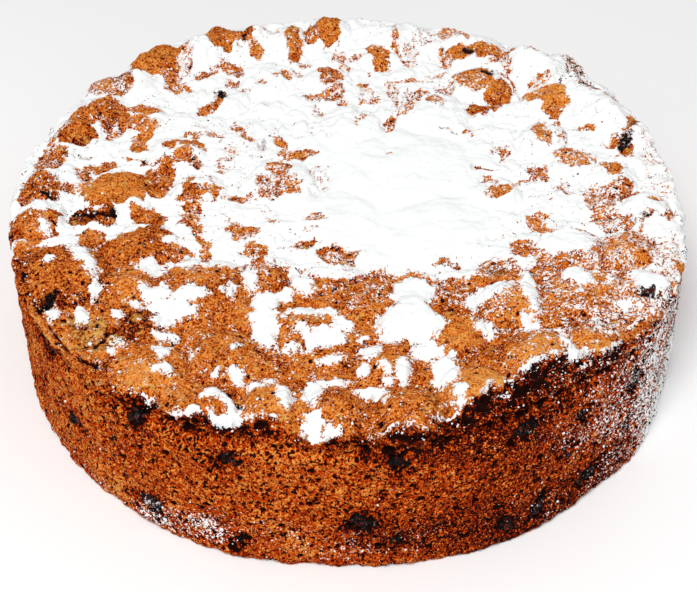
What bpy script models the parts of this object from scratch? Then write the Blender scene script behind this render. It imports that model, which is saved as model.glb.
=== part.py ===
"""A round date cake, baked in a tin and turned out.

It is one lumpy baked body, with the pieces of date that show at its wall and in its crust.
Metres, +Z up. The origin is the centre of the flat base, and -Y is the front.
"""

import math

import bmesh
import bpy
from mathutils import Matrix, Vector, noise

MM = 0.001

# The baked body
TIN_RADIUS = 115 * MM
VALLEY_HEIGHT = 56.5 * MM  # the crust's level between its lumps
CENTRE_SAG = 1.5 * MM
RIPPLE = 0.7 * MM
RIPPLE_SIZE = 9 * MM
ROLL_WIDTH = 7 * MM  # how far in from the rim the crust starts to roll over
ROLL_DROP = 5.5 * MM
FOOT_ROUND = 2 * MM
SEGMENTS = 104
CRUST_RINGS = 20
ROLL_STEPS = 3
WALL_RINGS = 4

# Where the body stands out from the tin's circle or in from it, at rim and at foot:
# (angle in degrees, half width in degrees, swell in mm)
RIM_SWELLS = ((228, 9, 2.0), (262, 8, -1.3), (306, 17, -2.8), (45, 10, 1.2), (118, 12, 1.2))
FOOT_SWELLS = ((242, 7, 1.0), (268, 9, -1.0), (298, 7, 1.0), (326, 7, 1.6), (95, 14, 1.2))

# Lumps of the crust: (x, y, radius, rise), in mm. Neighbours meet in valleys.
CRUST_LUMPS = (
    # front, left of the middle
    (-94, -37, 16, 5.0), (-72, -43, 10, 3.5), (-68, -21, 12, 2.5), (-66, -61, 7, 3.5),
    (-48, -45, 17, 3.5), (-62, -82, 13, 3.0), (-38, -76, 13, 2.5), (-43, -98, 10, 3.0),
    (-22, -100, 12, 4.0), (-4, -100, 10, 4.5), (-14, -62, 10, 2.0), (-28, -38, 8, 1.5),
    # front, right of the middle
    (6, -50, 10, 2.0), (19, -60, 11, 2.5), (10, -80, 10, 2.0), (18, -101, 12, 4.0),
    (38, -93, 12, 3.5), (33, -66, 11, 2.5), (52, -52, 11, 3.5), (59, -76, 12, 4.0),
    (76, -48, 14, 2.5), (76, -70, 8, 3.0), (95, -46, 9, 3.5), (92, -26, 10, 3.0),
    # left side
    (-106, -8, 10, 3.0), (-104, 16, 10, 3.0), (-80, 6, 14, 3.5), (-98, 42, 10, 3.5),
    (-61, 29, 11, 3.0), (-76, 50, 10, 2.5), (-52, 8, 10, 2.5), (-24, 12, 13, 2.5),
    # back
    (-90, 66, 10, 5.0), (-73, 84, 13, 4.5), (-49, 97, 11, 5.5), (-24, 98, 9, 4.0),
    (-7, 103, 9, 4.5), (12, 89, 8, 3.0), (18, 100, 8, 4.0), (49, 91, 13, 4.5),
    (38, 101, 10, 3.5), (50, 71, 13, 3.5), (31, 52, 14, 3.5), (75, 60, 11, 3.5),
    (84, 80, 10, 4.0), (-45, 62, 9, 2.5), (-30, 75, 12, 2.0), (-8, 74, 10, 2.5),
    # right side
    (102, 38, 10, 4.0), (90, 56, 10, 3.0), (70, 37, 10, 3.0), (92, 13, 10, 3.0),
    (102, -5, 9, 3.5), (78, 22, 10, 2.5), (76, -25, 11, 2.0), (52, 5, 9, 2.0),
    # the middle, under the thick sugar
    (20, 20, 24, 1.8), (30, -15, 20, 1.5), (-5, -8, 16, 1.2), (0, 46, 14, 1.5),
)
LUMP_SHARPNESS = 4  # power of the blend: higher makes the valleys sharper

# Pieces of date at the wall: (angle in degrees, height, half width, half height, tilt in degrees)
WALL_DATES = (
    (219, 26, 6.5, 3.5, 15), (214, 50, 4.0, 4.5, -20), (235.5, 49, 3.2, 5.0, -10),
    (236.5, 11.5, 5.5, 5.0, 20), (251.5, 44, 4.5, 3.0, 10), (252.5, 7.5, 2.6, 3.6, 0),
    (272, 22, 5.8, 4.8, -15), (277, 12.5, 4.2, 2.6, 12), (277.5, 47, 4.6, 3.4, -8),
    (295.5, 9, 3.4, 5.4, 18), (301, 9.5, 3.0, 5.8, -14), (298, 46.5, 6.0, 3.2, 10),
    (307, 27, 2.8, 3.8, 25), (312.5, 11, 6.6, 4.8, 20), (310, 40, 3.0, 3.6, 0),
    (323, 37, 5.6, 4.6, -30), (322, 21.5, 3.2, 3.0, 10), (344, 32, 4.2, 6.0, -35),
    (186, 24, 4.6, 4.2, 20),
)
# The hidden half of the wall carries the same mix, placed by a rule
BACK_DATES = 9
BACK_FIRST_ANGLE = 8
BACK_LAST_ANGLE = 168
BACK_LOWEST = 9 * MM
BACK_SPREAD = 38 * MM
BACK_HALF_WIDTHS = (5.4, 3.6, 6.2, 3.0, 4.6)
BACK_HALF_HEIGHTS = (3.4, 4.8, 4.6, 3.2)
GOLDEN_SHARE = 0.618

# Pieces of date in the crust: (x, y, half length, half width, turn in degrees)
CRUST_DATES = (
    (-95, 26.5, 4.6, 2.6, 8), (-47.5, 63.5, 4.0, 2.4, -55), (-31, 34, 3.4, 2.4, 70),
    (53, 75, 4.6, 3.8, 20), (81, 69, 5.4, 4.0, 60), (100, 33.5, 6.4, 2.8, 62),
    (95.5, -49.5, 4.0, 3.2, 15), (-95, -49.5, 3.8, 3.0, 40), (46, 88, 3.0, 2.4, 0),
    (-40, 98, 3.4, 2.6, 80),
)
CRUST_DATE_DEPTH = 3.0 * MM
CRUST_DATE_SINK = 1.6 * MM  # a date's middle lies this far under the crust
CRUST_DATE_PROUD = 0.6 * MM
WALL_DATE_DEPTH = 4.0 * MM
WALL_DATE_SINK = 1.4 * MM
WALL_DATE_RECESS = 0.4 * MM
DATE_ROUGHNESS = 0.16
GAP = 0.45 * MM  # between a date and its pocket

CRUST_COLOUR = (0.42, 0.14, 0.03, 1)
DATE_COLOUR = (0.022, 0.012, 0.010, 1)


def clear_scene():
    for thing in list(bpy.data.objects):
        bpy.data.objects.remove(thing)


def material(name, colour, roughness):
    made = bpy.data.materials.new(name)
    made.use_nodes = True
    shader = made.node_tree.nodes["Principled BSDF"]
    shader.inputs["Base Color"].default_value = colour
    shader.inputs["Roughness"].default_value = roughness
    shader.inputs["Metallic"].default_value = 0
    return made


def add_object(name, mesh, finish, parent):
    mesh.materials.append(finish)
    made = bpy.data.objects.new(name, mesh)
    made.parent = parent
    bpy.context.scene.collection.objects.link(made)
    return made


def swell(angle, swells):
    """Sum of the soft bumps of an outline at this angle in degrees."""
    total = 0.0
    for middle, half_width, height in swells:
        away = (angle - middle + 180) % 360 - 180
        total += height * MM * math.exp(-((away / half_width) ** 2))
    return total


def wall_radius(turn, height):
    """The body's radius at an angle in radians and a height, without the round at its foot."""
    angle = math.degrees(turn) % 360
    share = min(max(height / VALLEY_HEIGHT, 0), 1)
    return TIN_RADIUS + share * swell(angle, RIM_SWELLS) + (1 - share) * swell(angle, FOOT_SWELLS)


def lump_rise(x, y):
    """Height of the crust's lumps over its valleys."""
    total = 0.0
    for lump_x, lump_y, radius, rise in CRUST_LUMPS:
        away = math.hypot(x - lump_x * MM, y - lump_y * MM) / (radius * MM)
        if away < 1:
            total += (rise * MM * (1 - away**2)) ** LUMP_SHARPNESS
    return total ** (1 / LUMP_SHARPNESS)


def crust_height(x, y):
    """Height of the crust before it rolls over at the rim."""
    sag = CENTRE_SAG * max(0, 1 - math.hypot(x, y) / TIN_RADIUS)
    ripple = RIPPLE * noise.noise(Vector((x, y, 0)) / RIPPLE_SIZE)
    return VALLEY_HEIGHT + lump_rise(x, y) - sag + ripple


def crust_point(turn, radius, drop=0.0):
    x = radius * math.cos(turn)
    y = radius * math.sin(turn)
    return Vector((x, y, crust_height(x, y) - drop))


def body_rings():
    """The body's rings of points, from the middle of the crust to the foot."""
    turns = [2 * math.pi * i / SEGMENTS for i in range(SEGMENTS)]
    rims = [wall_radius(turn, VALLEY_HEIGHT) for turn in turns]
    for k in range(1, CRUST_RINGS + 1):
        share = k / CRUST_RINGS
        yield [crust_point(t, share * (rim - ROLL_WIDTH)) for t, rim in zip(turns, rims)]
    for k in range(1, ROLL_STEPS + 1):
        bend = math.pi / 2 * k / ROLL_STEPS
        inset = ROLL_WIDTH * (1 - math.sin(bend))
        drop = ROLL_DROP * (1 - math.cos(bend))
        yield [crust_point(t, rim - inset, drop) for t, rim in zip(turns, rims)]
    for k in range(1, WALL_RINGS + 1):
        share = k / WALL_RINGS
        ring = []
        for turn, rim in zip(turns, rims):
            top = crust_point(turn, rim, ROLL_DROP).z
            height = top + share * (FOOT_ROUND - top)
            radius = wall_radius(turn, height)
            ring.append(Vector((radius * math.cos(turn), radius * math.sin(turn), height)))
        yield ring
    yield [
        Vector((math.cos(t), math.sin(t), 0)) * (wall_radius(t, 0) - FOOT_ROUND) for t in turns
    ]


def body_mesh():
    shape = bmesh.new()
    middle = shape.verts.new(crust_point(0, 0))
    upper = None
    for ring in body_rings():
        lower = [shape.verts.new(point) for point in ring]
        for i in range(SEGMENTS):
            j = (i + 1) % SEGMENTS
            if upper is None:
                shape.faces.new((middle, lower[i], lower[j]))
            else:
                shape.faces.new((upper[i], lower[i], lower[j], upper[j]))
        upper = lower
    shape.faces.new(reversed(upper))
    mesh = bpy.data.meshes.new("cake")
    shape.to_mesh(mesh)
    shape.free()
    return mesh


def date_shape(half_sizes, seed):
    """A chopped piece of date about the origin, as a bmesh."""
    shape = bmesh.new()
    bmesh.ops.create_icosphere(shape, subdivisions=1, radius=1)
    shift = Vector((seed * 1.7, seed * 2.3, seed * 3.1))
    for vert in shape.verts:
        swollen = 1 + DATE_ROUGHNESS * noise.noise(vert.co * 1.4 + shift)
        vert.co = Vector([size * c * swollen for size, c in zip(half_sizes, vert.co)])
    return shape


def grown(shape, by):
    """Moves every point of a bmesh out along its normal."""
    shape.normal_update()
    moves = [vert.normal * by for vert in shape.verts]
    for vert, move in zip(shape.verts, moves):
        vert.co += move
    return shape


def add_date(name, placement, half_sizes, seed, kept_inside, finish, cutters, parent):
    """A date piece held under the cake's surface, and the cutter of its pocket."""
    shape = date_shape(half_sizes, seed)
    away = placement.inverted()
    for vert in shape.verts:
        vert.co = away @ kept_inside(placement @ vert.co, placement.translation)
    mesh = bpy.data.meshes.new(name)
    shape.to_mesh(mesh)
    shape.free()
    made = add_object(name, mesh, finish, parent)
    made.matrix_local = placement

    pocket = grown(date_shape(half_sizes, seed), GAP)
    mesh = bpy.data.meshes.new(name + "_pocket")
    pocket.to_mesh(mesh)
    pocket.free()
    cutter = bpy.data.objects.new(name + "_pocket", mesh)
    cutter.parent = parent
    cutter.matrix_local = placement
    cutter.hide_render = True
    cutter.display_type = "WIRE"
    cutters.objects.link(cutter)


def under_wall(point, middle):
    turn = math.atan2(point.y, point.x)
    limit = max(wall_radius(turn, point.z) - WALL_DATE_RECESS, math.hypot(middle.x, middle.y))
    radius = math.hypot(point.x, point.y)
    squeeze = min(1, limit / radius)
    return Vector((point.x * squeeze, point.y * squeeze, point.z))


def rolled_height(x, y):
    """Height of the crust, with its roll at the rim."""
    beyond = math.hypot(x, y) - (TIN_RADIUS - ROLL_WIDTH)
    bend = min(max(beyond / ROLL_WIDTH, 0), 1)
    return crust_height(x, y) - ROLL_DROP * (1 - math.sqrt(1 - bend**2))


def under_crust(point, middle):
    limit = max(rolled_height(point.x, point.y) + CRUST_DATE_PROUD, middle.z)
    return Vector((point.x, point.y, min(point.z, limit)))


def wall_placement(angle, height, tilt):
    """Local X runs along the wall, Y out of it and Z up, tilted about Y."""
    turn = math.radians(angle)
    radius = wall_radius(turn, height) - WALL_DATE_SINK
    place = Matrix.Translation((radius * math.cos(turn), radius * math.sin(turn), height))
    facing = Matrix.Rotation(turn - math.pi / 2, 4, "Z")
    return place @ facing @ Matrix.Rotation(math.radians(tilt), 4, "Y")


def back_dates():
    """Like WALL_DATES, for the half of the wall that faces away."""
    for i in range(BACK_DATES):
        share = i / (BACK_DATES - 1)
        angle = BACK_FIRST_ANGLE + share * (BACK_LAST_ANGLE - BACK_FIRST_ANGLE)
        height = (BACK_LOWEST + BACK_SPREAD * (i * GOLDEN_SHARE % 1)) / MM
        half_width = BACK_HALF_WIDTHS[i % len(BACK_HALF_WIDTHS)]
        half_height = BACK_HALF_HEIGHTS[i % len(BACK_HALF_HEIGHTS)]
        yield angle, height, half_width, half_height, 40 * math.sin(2.4 * i)


def add_wall_dates(finish, cutters, parent):
    pieces = list(WALL_DATES) + list(back_dates())
    for i, (angle, height, half_width, half_height, tilt) in enumerate(pieces):
        add_date(
            f"date_wall_{i + 1:02d}",
            wall_placement(angle, height * MM, tilt),
            (half_width * MM, WALL_DATE_DEPTH, half_height * MM),
            i,
            under_wall,
            finish,
            cutters,
            parent,
        )


def add_crust_dates(finish, cutters, parent):
    for i, (x, y, half_length, half_width, turn) in enumerate(CRUST_DATES):
        level = rolled_height(x * MM, y * MM) - CRUST_DATE_SINK
        place = Matrix.Translation((x * MM, y * MM, level))
        add_date(
            f"date_crust_{i + 1:02d}",
            place @ Matrix.Rotation(math.radians(turn), 4, "Z"),
            (half_length * MM, half_width * MM, CRUST_DATE_DEPTH),
            len(WALL_DATES) + BACK_DATES + i,
            under_crust,
            finish,
            cutters,
            parent,
        )


def build():
    clear_scene()
    origin = bpy.data.objects.new("cake_origin", None)
    bpy.context.scene.collection.objects.link(origin)
    cutters = bpy.data.collections.new("date_pockets")
    bpy.context.scene.collection.children.link(cutters)

    body = add_object("cake", body_mesh(), material("crust", CRUST_COLOUR, 0.85), origin)
    date_finish = material("date", DATE_COLOUR, 0.45)
    add_wall_dates(date_finish, cutters, origin)
    add_crust_dates(date_finish, cutters, origin)

    pockets = body.modifiers.new("date pockets", "BOOLEAN")
    pockets.operation = "DIFFERENCE"
    pockets.operand_type = "COLLECTION"
    pockets.collection = cutters
    pockets.solver = "EXACT"


build()
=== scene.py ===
"""The looks of a round date cake under icing sugar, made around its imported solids.

The outside of the cake is one skin: a disc of points for the crust and a drum of points for the wall, which
share the rim. Relief, pores, cracks and the depth of the sugar are worked out for every point of it. It is
then cut into closed pieces. The pieces of date grow from their own solids. Lengths in the maths are
millimetres, and a mesh gets metres.
"""

import itertools
import math
import operator

import bpy
import numpy as np
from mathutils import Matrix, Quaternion, Vector, noise


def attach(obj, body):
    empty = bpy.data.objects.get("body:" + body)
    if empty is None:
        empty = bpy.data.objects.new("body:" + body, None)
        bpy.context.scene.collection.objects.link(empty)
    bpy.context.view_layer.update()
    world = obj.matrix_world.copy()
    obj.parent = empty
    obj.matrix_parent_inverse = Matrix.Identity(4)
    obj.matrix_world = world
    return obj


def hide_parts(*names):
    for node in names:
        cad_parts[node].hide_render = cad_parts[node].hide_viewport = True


bl_info = {
    "name": "Date cake",
    "version": (1, 0, 0),
    "blender": (4, 5, 0),
    "location": "3D View > Sidebar > Date cake",
    "description": "Makes the crust, wall, dates and icing sugar of a date cake around its solids",
    "category": "Add Mesh",
}

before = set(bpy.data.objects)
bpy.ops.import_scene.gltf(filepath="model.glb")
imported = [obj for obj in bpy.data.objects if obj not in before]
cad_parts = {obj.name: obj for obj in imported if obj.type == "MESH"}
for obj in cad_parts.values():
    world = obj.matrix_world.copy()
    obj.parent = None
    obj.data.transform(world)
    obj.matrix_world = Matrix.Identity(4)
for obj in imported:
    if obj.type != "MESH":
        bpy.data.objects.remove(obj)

MM = 0.001
FULL_TURN = 6.283

# ---------------------------------------------------------------- the baked body, as the solids have it

TIN_RADIUS = 115
VALLEY_HEIGHT = 56.5
CENTRE_SAG = 1.5
RIPPLE = 0.7
RIPPLE_SIZE = 9
ROLL_WIDTH = 7
ROLL_DROP = 5.5
FOOT_ROUND = 2
RIM_SWELLS = ((228, 9, 2), (262, 8, -1.3), (306, 17, -2.8), (45, 10, 1.2), (118, 12, 1.2))
FOOT_SWELLS = ((242, 7, 1), (268, 9, -1), (298, 7, 1), (326, 7, 1.6), (95, 14, 1.2))

# Lumps of the crust: (x, y, radius, rise). Neighbours meet in valleys.
CRUST_LUMPS = (
    (-94, -37, 16, 5), (-72, -43, 10, 3.5), (-68, -21, 12, 2.5), (-66, -61, 7, 3.5), (-48, -45, 17, 3.5),
    (-62, -82, 13, 3), (-38, -76, 13, 2.5), (-43, -98, 10, 3), (-22, -100, 12, 4), (-4, -100, 10, 4.5),
    (-14, -62, 10, 2), (-28, -38, 8, 1.5), (6, -50, 10, 2), (19, -60, 11, 2.5), (10, -80, 10, 2),
    (18, -101, 12, 4), (38, -93, 12, 3.5), (33, -66, 11, 2.5), (52, -52, 11, 3.5), (59, -76, 12, 4),
    (76, -48, 14, 2.5), (76, -70, 8, 3), (95, -46, 9, 3.5), (92, -26, 10, 3), (-106, -8, 10, 3),
    (-104, 16, 10, 3), (-80, 6, 14, 3.5), (-98, 42, 10, 3.5), (-61, 29, 11, 3), (-76, 50, 10, 2.5),
    (-52, 8, 10, 2.5), (-24, 12, 13, 2.5), (-90, 66, 10, 5), (-73, 84, 13, 4.5), (-49, 97, 11, 5.5),
    (-24, 98, 9, 4), (-7, 103, 9, 4.5), (12, 89, 8, 3), (18, 100, 8, 4), (49, 91, 13, 4.5),
    (38, 101, 10, 3.5), (50, 71, 13, 3.5), (31, 52, 14, 3.5), (75, 60, 11, 3.5), (84, 80, 10, 4),
    (-45, 62, 9, 2.5), (-30, 75, 12, 2), (-8, 74, 10, 2.5), (102, 38, 10, 4), (90, 56, 10, 3),
    (70, 37, 10, 3), (92, 13, 10, 3), (102, -5, 9, 3.5), (78, 22, 10, 2.5), (76, -25, 11, 2), (52, 5, 9, 2),
    (20, 20, 24, 1.8), (30, -15, 20, 1.5), (-5, -8, 16, 1.2), (0, 46, 14, 1.5),
)
LUMP_SHARPNESS = 4
EDGE_WIDTH = 0.5  # of the line where two lumps meet, as the difference between their heights

# Pieces of date at the wall: (angle in degrees, height, half width, half height, tilt in degrees)
WALL_DATES = (
    (219, 26, 6.5, 3.5, 15), (214, 50, 4, 4.5, -20), (235.5, 49, 3.2, 5, -10), (236.5, 11.5, 5.5, 5, 20),
    (251.5, 44, 4.5, 3, 10), (252.5, 7.5, 2.6, 3.6, 0), (272, 22, 5.8, 4.8, -15), (277, 12.5, 4.2, 2.6, 12),
    (277.5, 47, 4.6, 3.4, -8), (295.5, 9, 3.4, 5.4, 18), (301, 9.5, 3, 5.8, -14), (298, 46.5, 6, 3.2, 10),
    (307, 27, 2.8, 3.8, 25), (312.5, 11, 6.6, 4.8, 20), (310, 40, 3, 3.6, 0), (323, 37, 5.6, 4.6, -30),
    (322, 21.5, 3.2, 3, 10), (344, 32, 4.2, 6, -35), (186, 24, 4.6, 4.2, 20),
)
BACK_DATES = 9
BACK_FIRST_ANGLE = 8
BACK_LAST_ANGLE = 168
BACK_LOWEST = 9
BACK_SPREAD = 38
BACK_HALF_WIDTHS = (5.4, 3.6, 6.2, 3.0, 4.6)
BACK_HALF_HEIGHTS = (3.4, 4.8, 4.6, 3.2)
BACK_TILT = 40
TILT_STEP = 2.4
GOLDEN_SHARE = 0.618

# Pieces of date in the crust: (x, y, half length, half width, turn in degrees)
CRUST_DATES = (
    (-95, 26.5, 4.6, 2.6, 8), (-47.5, 63.5, 4, 2.4, -55), (-31, 34, 3.4, 2.4, 70), (53, 75, 4.6, 3.8, 20),
    (81, 69, 5.4, 4, 60), (100, 33.5, 6.4, 2.8, 62), (95.5, -49.5, 4, 3.2, 15), (-95, -49.5, 3.8, 3, 40),
    (46, 88, 3, 2.4, 0), (-40, 98, 3.4, 2.6, 80),
)
# The share of each that the crust lets show
CRUST_DATES_OPEN = (0.8, 0.7, 0.75, 0.5, 0.9, 0.85, 0.8, 0.4, 0.5, 0.6)

# ---------------------------------------------------------------- the skin's own form

CRUST_STEPS = 220  # from the crust's middle to its rim; the rim has eight times as many points
WALL_ROWS = 118
FOOT_ROWS = 5
BASE_STEPS = CRUST_STEPS // 2  # so the base meets every second point of the foot
COLUMNS = 8 * CRUST_STEPS
FLAT_SHARE = 0.916  # of the steps lies on the flat, and the rest on the roll at the rim
WALL_QUARTERS = {"wall_right": -45, "wall_back": 45, "wall_left": 135, "wall_front": 225}

RIM_BULGE = 0.4  # share of a lump's rise by which it also hangs out at the rim
RIM_BULGE_REACH = 11  # down the wall
SIDE_LINE_WIDTH = 0.16  # of the line between crust and crumb, as a share of the roll
BELOW_AS_ROLL = 4  # this far below the rim counts as much as the whole roll
# Grooves under the rim: (angle, half width, depth), over a shallow one all round
RIM_GROOVES = (
    (222, 14, 0.45), (246, 11, 1.6), (272, 16, 1.8), (304, 18, 2), (20, 30, 0.9), (100, 40, 1.1),
    (170, 22, 0.9),
)
GROOVE_BELOW = 2.8
GROOVE_HEIGHT = 2.2
# Where the wall has torn under the rim: (angle, half width, share)
TORN_RIM = (
    (228, 5, 0.35), (241, 7, 0.9), (256, 6, 0.5), (271, 7, 0.9), (289, 8, 1.2), (304, 11, 1.1),
    (321, 9, 0.6), (62, 16, 0.6), (110, 9, 0.5), (165, 12, 0.5),
)
TORN_BELOW = 2.4  # lower at the right, by TORN_DROP
TORN_DROP = ((306, 20, 3.6),)
TORN_HEIGHT = 3.8
TORN_DEPTH, TORN_PORE_DEPTH = 1.7, 1.3
# Where it gapes right under the rim: (angle, half width, share)
RIM_GAPS = (
    (214, 6, 0.7), (230, 5, 0.4), (242, 4, 0.9), (251, 4, 0.9), (266, 4, 0.8), (278, 4, 0.8), (288, 6, 1),
    (301, 8, 1), (315, 7, 0.6), (70, 30, 0.4), (150, 30, 0.4),
)
GAP_BELOW = 2.2
GAP_HEIGHT = 2.3
GAP_DEPTH = 2.0
# How far round the roll at the rim the crust goes before the crumb begins: (angle, half width, share)
CRUST_ENDS = 0.60
CRUST_GOES_ON = ((211, 15, 0.22), (332, 16, 0.15), (90, 75, 0.4))
# How far in from the rim the crust has come away in front: (angle, half width, reach)
CRUST_INSET = (
    (236, 6, 2), (248, 5, 2.5), (257, 5, 6), (270, 3, 5), (277.5, 3, 5.5), (284.5, 3, 2.5), (291, 6, 6),
    (304, 11, 12),
)
TORN_EDGE = 0.8  # width of the line where the crust breaks off
LEDGE_DEPTH = 1.4
CAVES_IN, CAVES_WIDTH, CAVES_DEPTH = 1.8, 1.6, 1.6  # caves under the torn edge
# At the left the crust ends in a lip with a gap behind it: (angle, half width, share)
LIP = ((204, 9, 0.8), (216, 9, 1))
# Where these lie and how wide they are, as shares of the roll
LIP_AT, LIP_WIDTH = 0.64, 0.11
LIP_GAP_AT, LIP_GAP_WIDTH, LIP_GAP_DEPTH = 0.40, 0.10, 1.5
# Where the corner at the rim is tight: (angle, half width, share)
TIGHT_CORNER = ((250, 26, 0.9), (292, 24, 0.95), (325, 16, 0.5), (210, 16, 0.4))
TIGHT_WIDTH, TIGHT_DROP = 4.2, 3.8  # by which a tight corner is narrower and shallower than the roll
BOXY = 0.62  # power that squares the corner; 1 would leave it round
# Where the rim has risen: (angle, half width, height)
BACK_LIFT = ((94, 15, 3.6), (128, 14, 1.6), (40, 16, 1.5), (303, 14, 2.2))
LIFT_START, LIFT_WIDTH = 84, 24  # along the radius
# Batter between the lumps at the far rim stands this high: (angle, half width, height)
RIM_CREST = (
    (26, 4, 6.2), (33, 6, 3.6), (43, 6, 5), (51, 5, 7.2), (65, 4, 4.4), (77, 6, 3.2), (110, 4, 5.4),
    (122, 6, 7.8), (139, 4, 6.8), (150, 6, 5.8), (161, 7, 4.6), (176, 6, 4.4),
)
CREST_RADIUS, CREST_WIDTH = 106, 7
# How far the far and the left rim hang out: (angle, half width, reach)
RIM_OVERHANG = ((171, 10, 2.6), (152, 11, 3), (138, 6, 2), (124, 7, 4), (51, 8, 4.2), (33, 10, 2.4))

# Dents and holes in the crust: (x, y, half length, half width, turn, depth)
HOLLOWS = (
    (-97.5, -52, 3.8, 2.6, 50, 3.2), (-83, -64, 9, 5, -50, 1.6), (-77, -69, 5, 3, 40, 1.2),
    (72, 36.5, 1.3, 0.9, 0, 1.6), (100, -9.5, 3.2, 1.1, 8, 1.4), (34, -45, 1, 0.9, 0, 1.3),
    (42, -44, 1.5, 1, 30, 1.2), (-83, 70, 4, 0.9, -38, 1.6), (-30.5, 33.5, 1.6, 3.2, -12, 1.6),
    (-25.5, 44, 0.7, 3.4, 8, 1.2), (-79, -5, 2.6, 1.3, -25, 1.8), (-103, 1.5, 4.2, 1.1, -32, 1.4),
    (-88, -7.5, 1.6, 3, 10, 1.3), (-106, -39, 1.2, 2.6, 30, 1.6), (-100, -12, 2.2, 1, -40, 1.2),
    (97, -51, 2.6, 1.6, 20, 1.6), (92, -61, 2, 1.2, 30, 1.2), (84, -73, 2.6, 1.2, 40, 1.2),
    (-47, 66, 2, 1, -45, 1.4), (84, 80, 1.6, 1.2, 0, 1.2), (89, 65, 1.8, 1.2, 50, 1.4),
)
# Cracks and creases: (x and y of one end, x and y of the other, half width, depth)
CREASES = (
    (-38, -92, -32, -100, 0.7, 2.2), (-84, -76, -77, -81, 0.9, 2), (-73, -68, -60, -63, 0.5, 1.5),
    (-96, -3, -79, -6, 1.4, 1.5), (-84, 28, -52, 24.5, 0.9, 0.8), (-86, -62, -80, -62, 0.7, 1.6),
    (-80, -70, -74, -63, 0.7, 1.8), (-110, 5, -98, 2, 0.9, 1.2), (28, -58, 48, -72, 1, 1),
    (-60, -100, -48, -104, 0.8, 1), (80, -43, 100, -35, 1, -0.8), (-20, -76, -16, -106, 1.1, 0.9),
    (8, -92, 9, -108, 1.1, 1.1), (28, -90, 29, -107, 1, 0.9), (46, -76, 48, -94, 1, 0.9),
    (-110, -36, -102, -58, 1.1, 1.2), (-102, -58, -88, -80, 1, 0.9),
)
# Torn, crumbly ground of paler crumb: (x, y, half length, half width, turn, share)
CRUMBLY = (
    (-82, -63, 9, 5.5, -50, 1), (-76, -70, 6, 4, 40, 0.9), (-84, -72, 4, 5, 0, 0.6),
    (38, -46, 4, 3, 0, 0.5),
)
# Browner and paler ground: (x, y, half length, half width, turn, change of tone)
TONES = (
    (-95, -37, 17, 16, 0, -0.6), (-66, -61, 8, 5, 20, -1.9), (-48, -44, 15, 14, 0, -0.25),
    (-91, -7, 10, 7, 0, -0.7), (-72, -22, 12, 12, 0, -0.25), (-4, -101, 11, 11, 0, -0.1),
    (-43, -98, 10, 9, 0, -0.2), (38, -93, 13, 14, 0, 0.35), (60, -76, 13, 12, 0, 0.1),
    (33, -66, 12, 10, 0, 0.25), (-22, -100, 12, 11, 0, 0.25), (-60, -82, 14, 12, 0, 0.2),
    (38, -95, 12, 10, 0, 0.3), (-73, 84, 14, 12, 50, -0.1), (-49, 97, 11, 12, 0, -0.1),
    (-90, 66, 10, 10, 0, -0.35), (-7, 103, 9, 10, 0, -0.3), (75, 60, 12, 10, 0, 0.45),
    (50, 72, 12, 10, 0, 0.15), (52, 90, 12, 7, 0, -0.1), (-96, 44, 12, 12, 0, -0.2),
    (58, 92, 10, 8, 0, -0.2), (-106, 5, 9, 20, 0, -0.4), (33, -48, 12, 8, 0, -0.3),
    (10, -50, 12, 8, 0, -0.3), (60, -52, 16, 10, 0, 0.2), (50, -88, 6, 12, 0, 0.15),
    (74, -62, 16, 10, 30, -0.1),
)
# The wall is darker towards the right: (angle, half width, amount)
WALL_DARKER_RIGHT = ((245, 10, 0.15), (272, 14, 0.25), (299, 17, 0.95), (340, 20, 0.3))
# Browner and paler ground, and painted shade under the rim: (angle, height, half width, half height, turn,
# change of tone)
WALL_TONES = (
    (315, 8, 9, 13, 0, -1), (301, 7, 12, 10, 0, -1.3), (274, 17, 9, 7, 0, -0.7), (288, 16, 9, 8, 0, -0.75),
    (288, 50, 9, 6, 0, -0.6), (302, 42, 9, 8, 0, -0.5), (317, 6, 9, 7, 0, -0.5), (272, 55, 7, 4, 0, 0.4),
    (211, 52, 8, 6, 0, -0.9), (257, 50, 8, 6, 0, 0.5), (272, 50, 8, 6, 0, 0.4), (227, 51, 8, 5, 0, 0.7),
    (242, 51, 8, 5, 0, 0.35),
)
# Dark ground where date lies just under the crust: (x, y, half length, half width, turn, share)
STAINS = (
    (-91, -8, 3, 1.6, 0, 0.5), (-80, -5, 2.4, 1.3, -25, 0.75), (-103, 2, 4, 1.3, -30, 0.7),
    (-95, 26.5, 5.6, 3, 8, 0.9), (-46.5, 64.5, 2.4, 2.2, -45, 0.8), (-41, 105, 1.6, 3.6, 0, 0.7),
    (53, 77, 4, 3, 20, 0.35), (85, 74, 4, 9, 20, 0.8), (89, 65, 3.4, 4, 30, 0.8),
    (103, 37, 2.4, 7, -25, 0.9), (97, -50, 4, 3, 20, 0.9), (101, -10, 4.4, 1.6, 8, 0.8),
    (48, -36, 3.4, 3.4, 0, 0.5), (32, -33, 4, 1.6, 0, 0.5), (-97.5, -51.5, 2.4, 1.7, 45, 0.9),
    (-85, 66, 2.4, 7, 30, 0.5), (46, 88, 3, 2.4, 0, 0.4), (84, -78, 9, 3, 40, 0.6),
    (47, -66, 4, 1.6, -30, 0.2), (37, -81, 3, 2, 0, 0.2),
)
CRUMBLY_EDGE, STAIN_EDGE, TONE_EDGE, WALL_TONE_EDGE = 2.5, 2.2, 6, 8  # how softly these patches end
VALLEY_DEPTH = 1.1
DATE_OPENING = 0.86  # share of each piece of date at the wall that the crumb lets show
DATE_OPENING_DEPTH = 1.5
DATE_HALO = 1.5  # size of the stain round it
DATE_SWELL = 1.08  # size of the flesh, as a share of its solid

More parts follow.
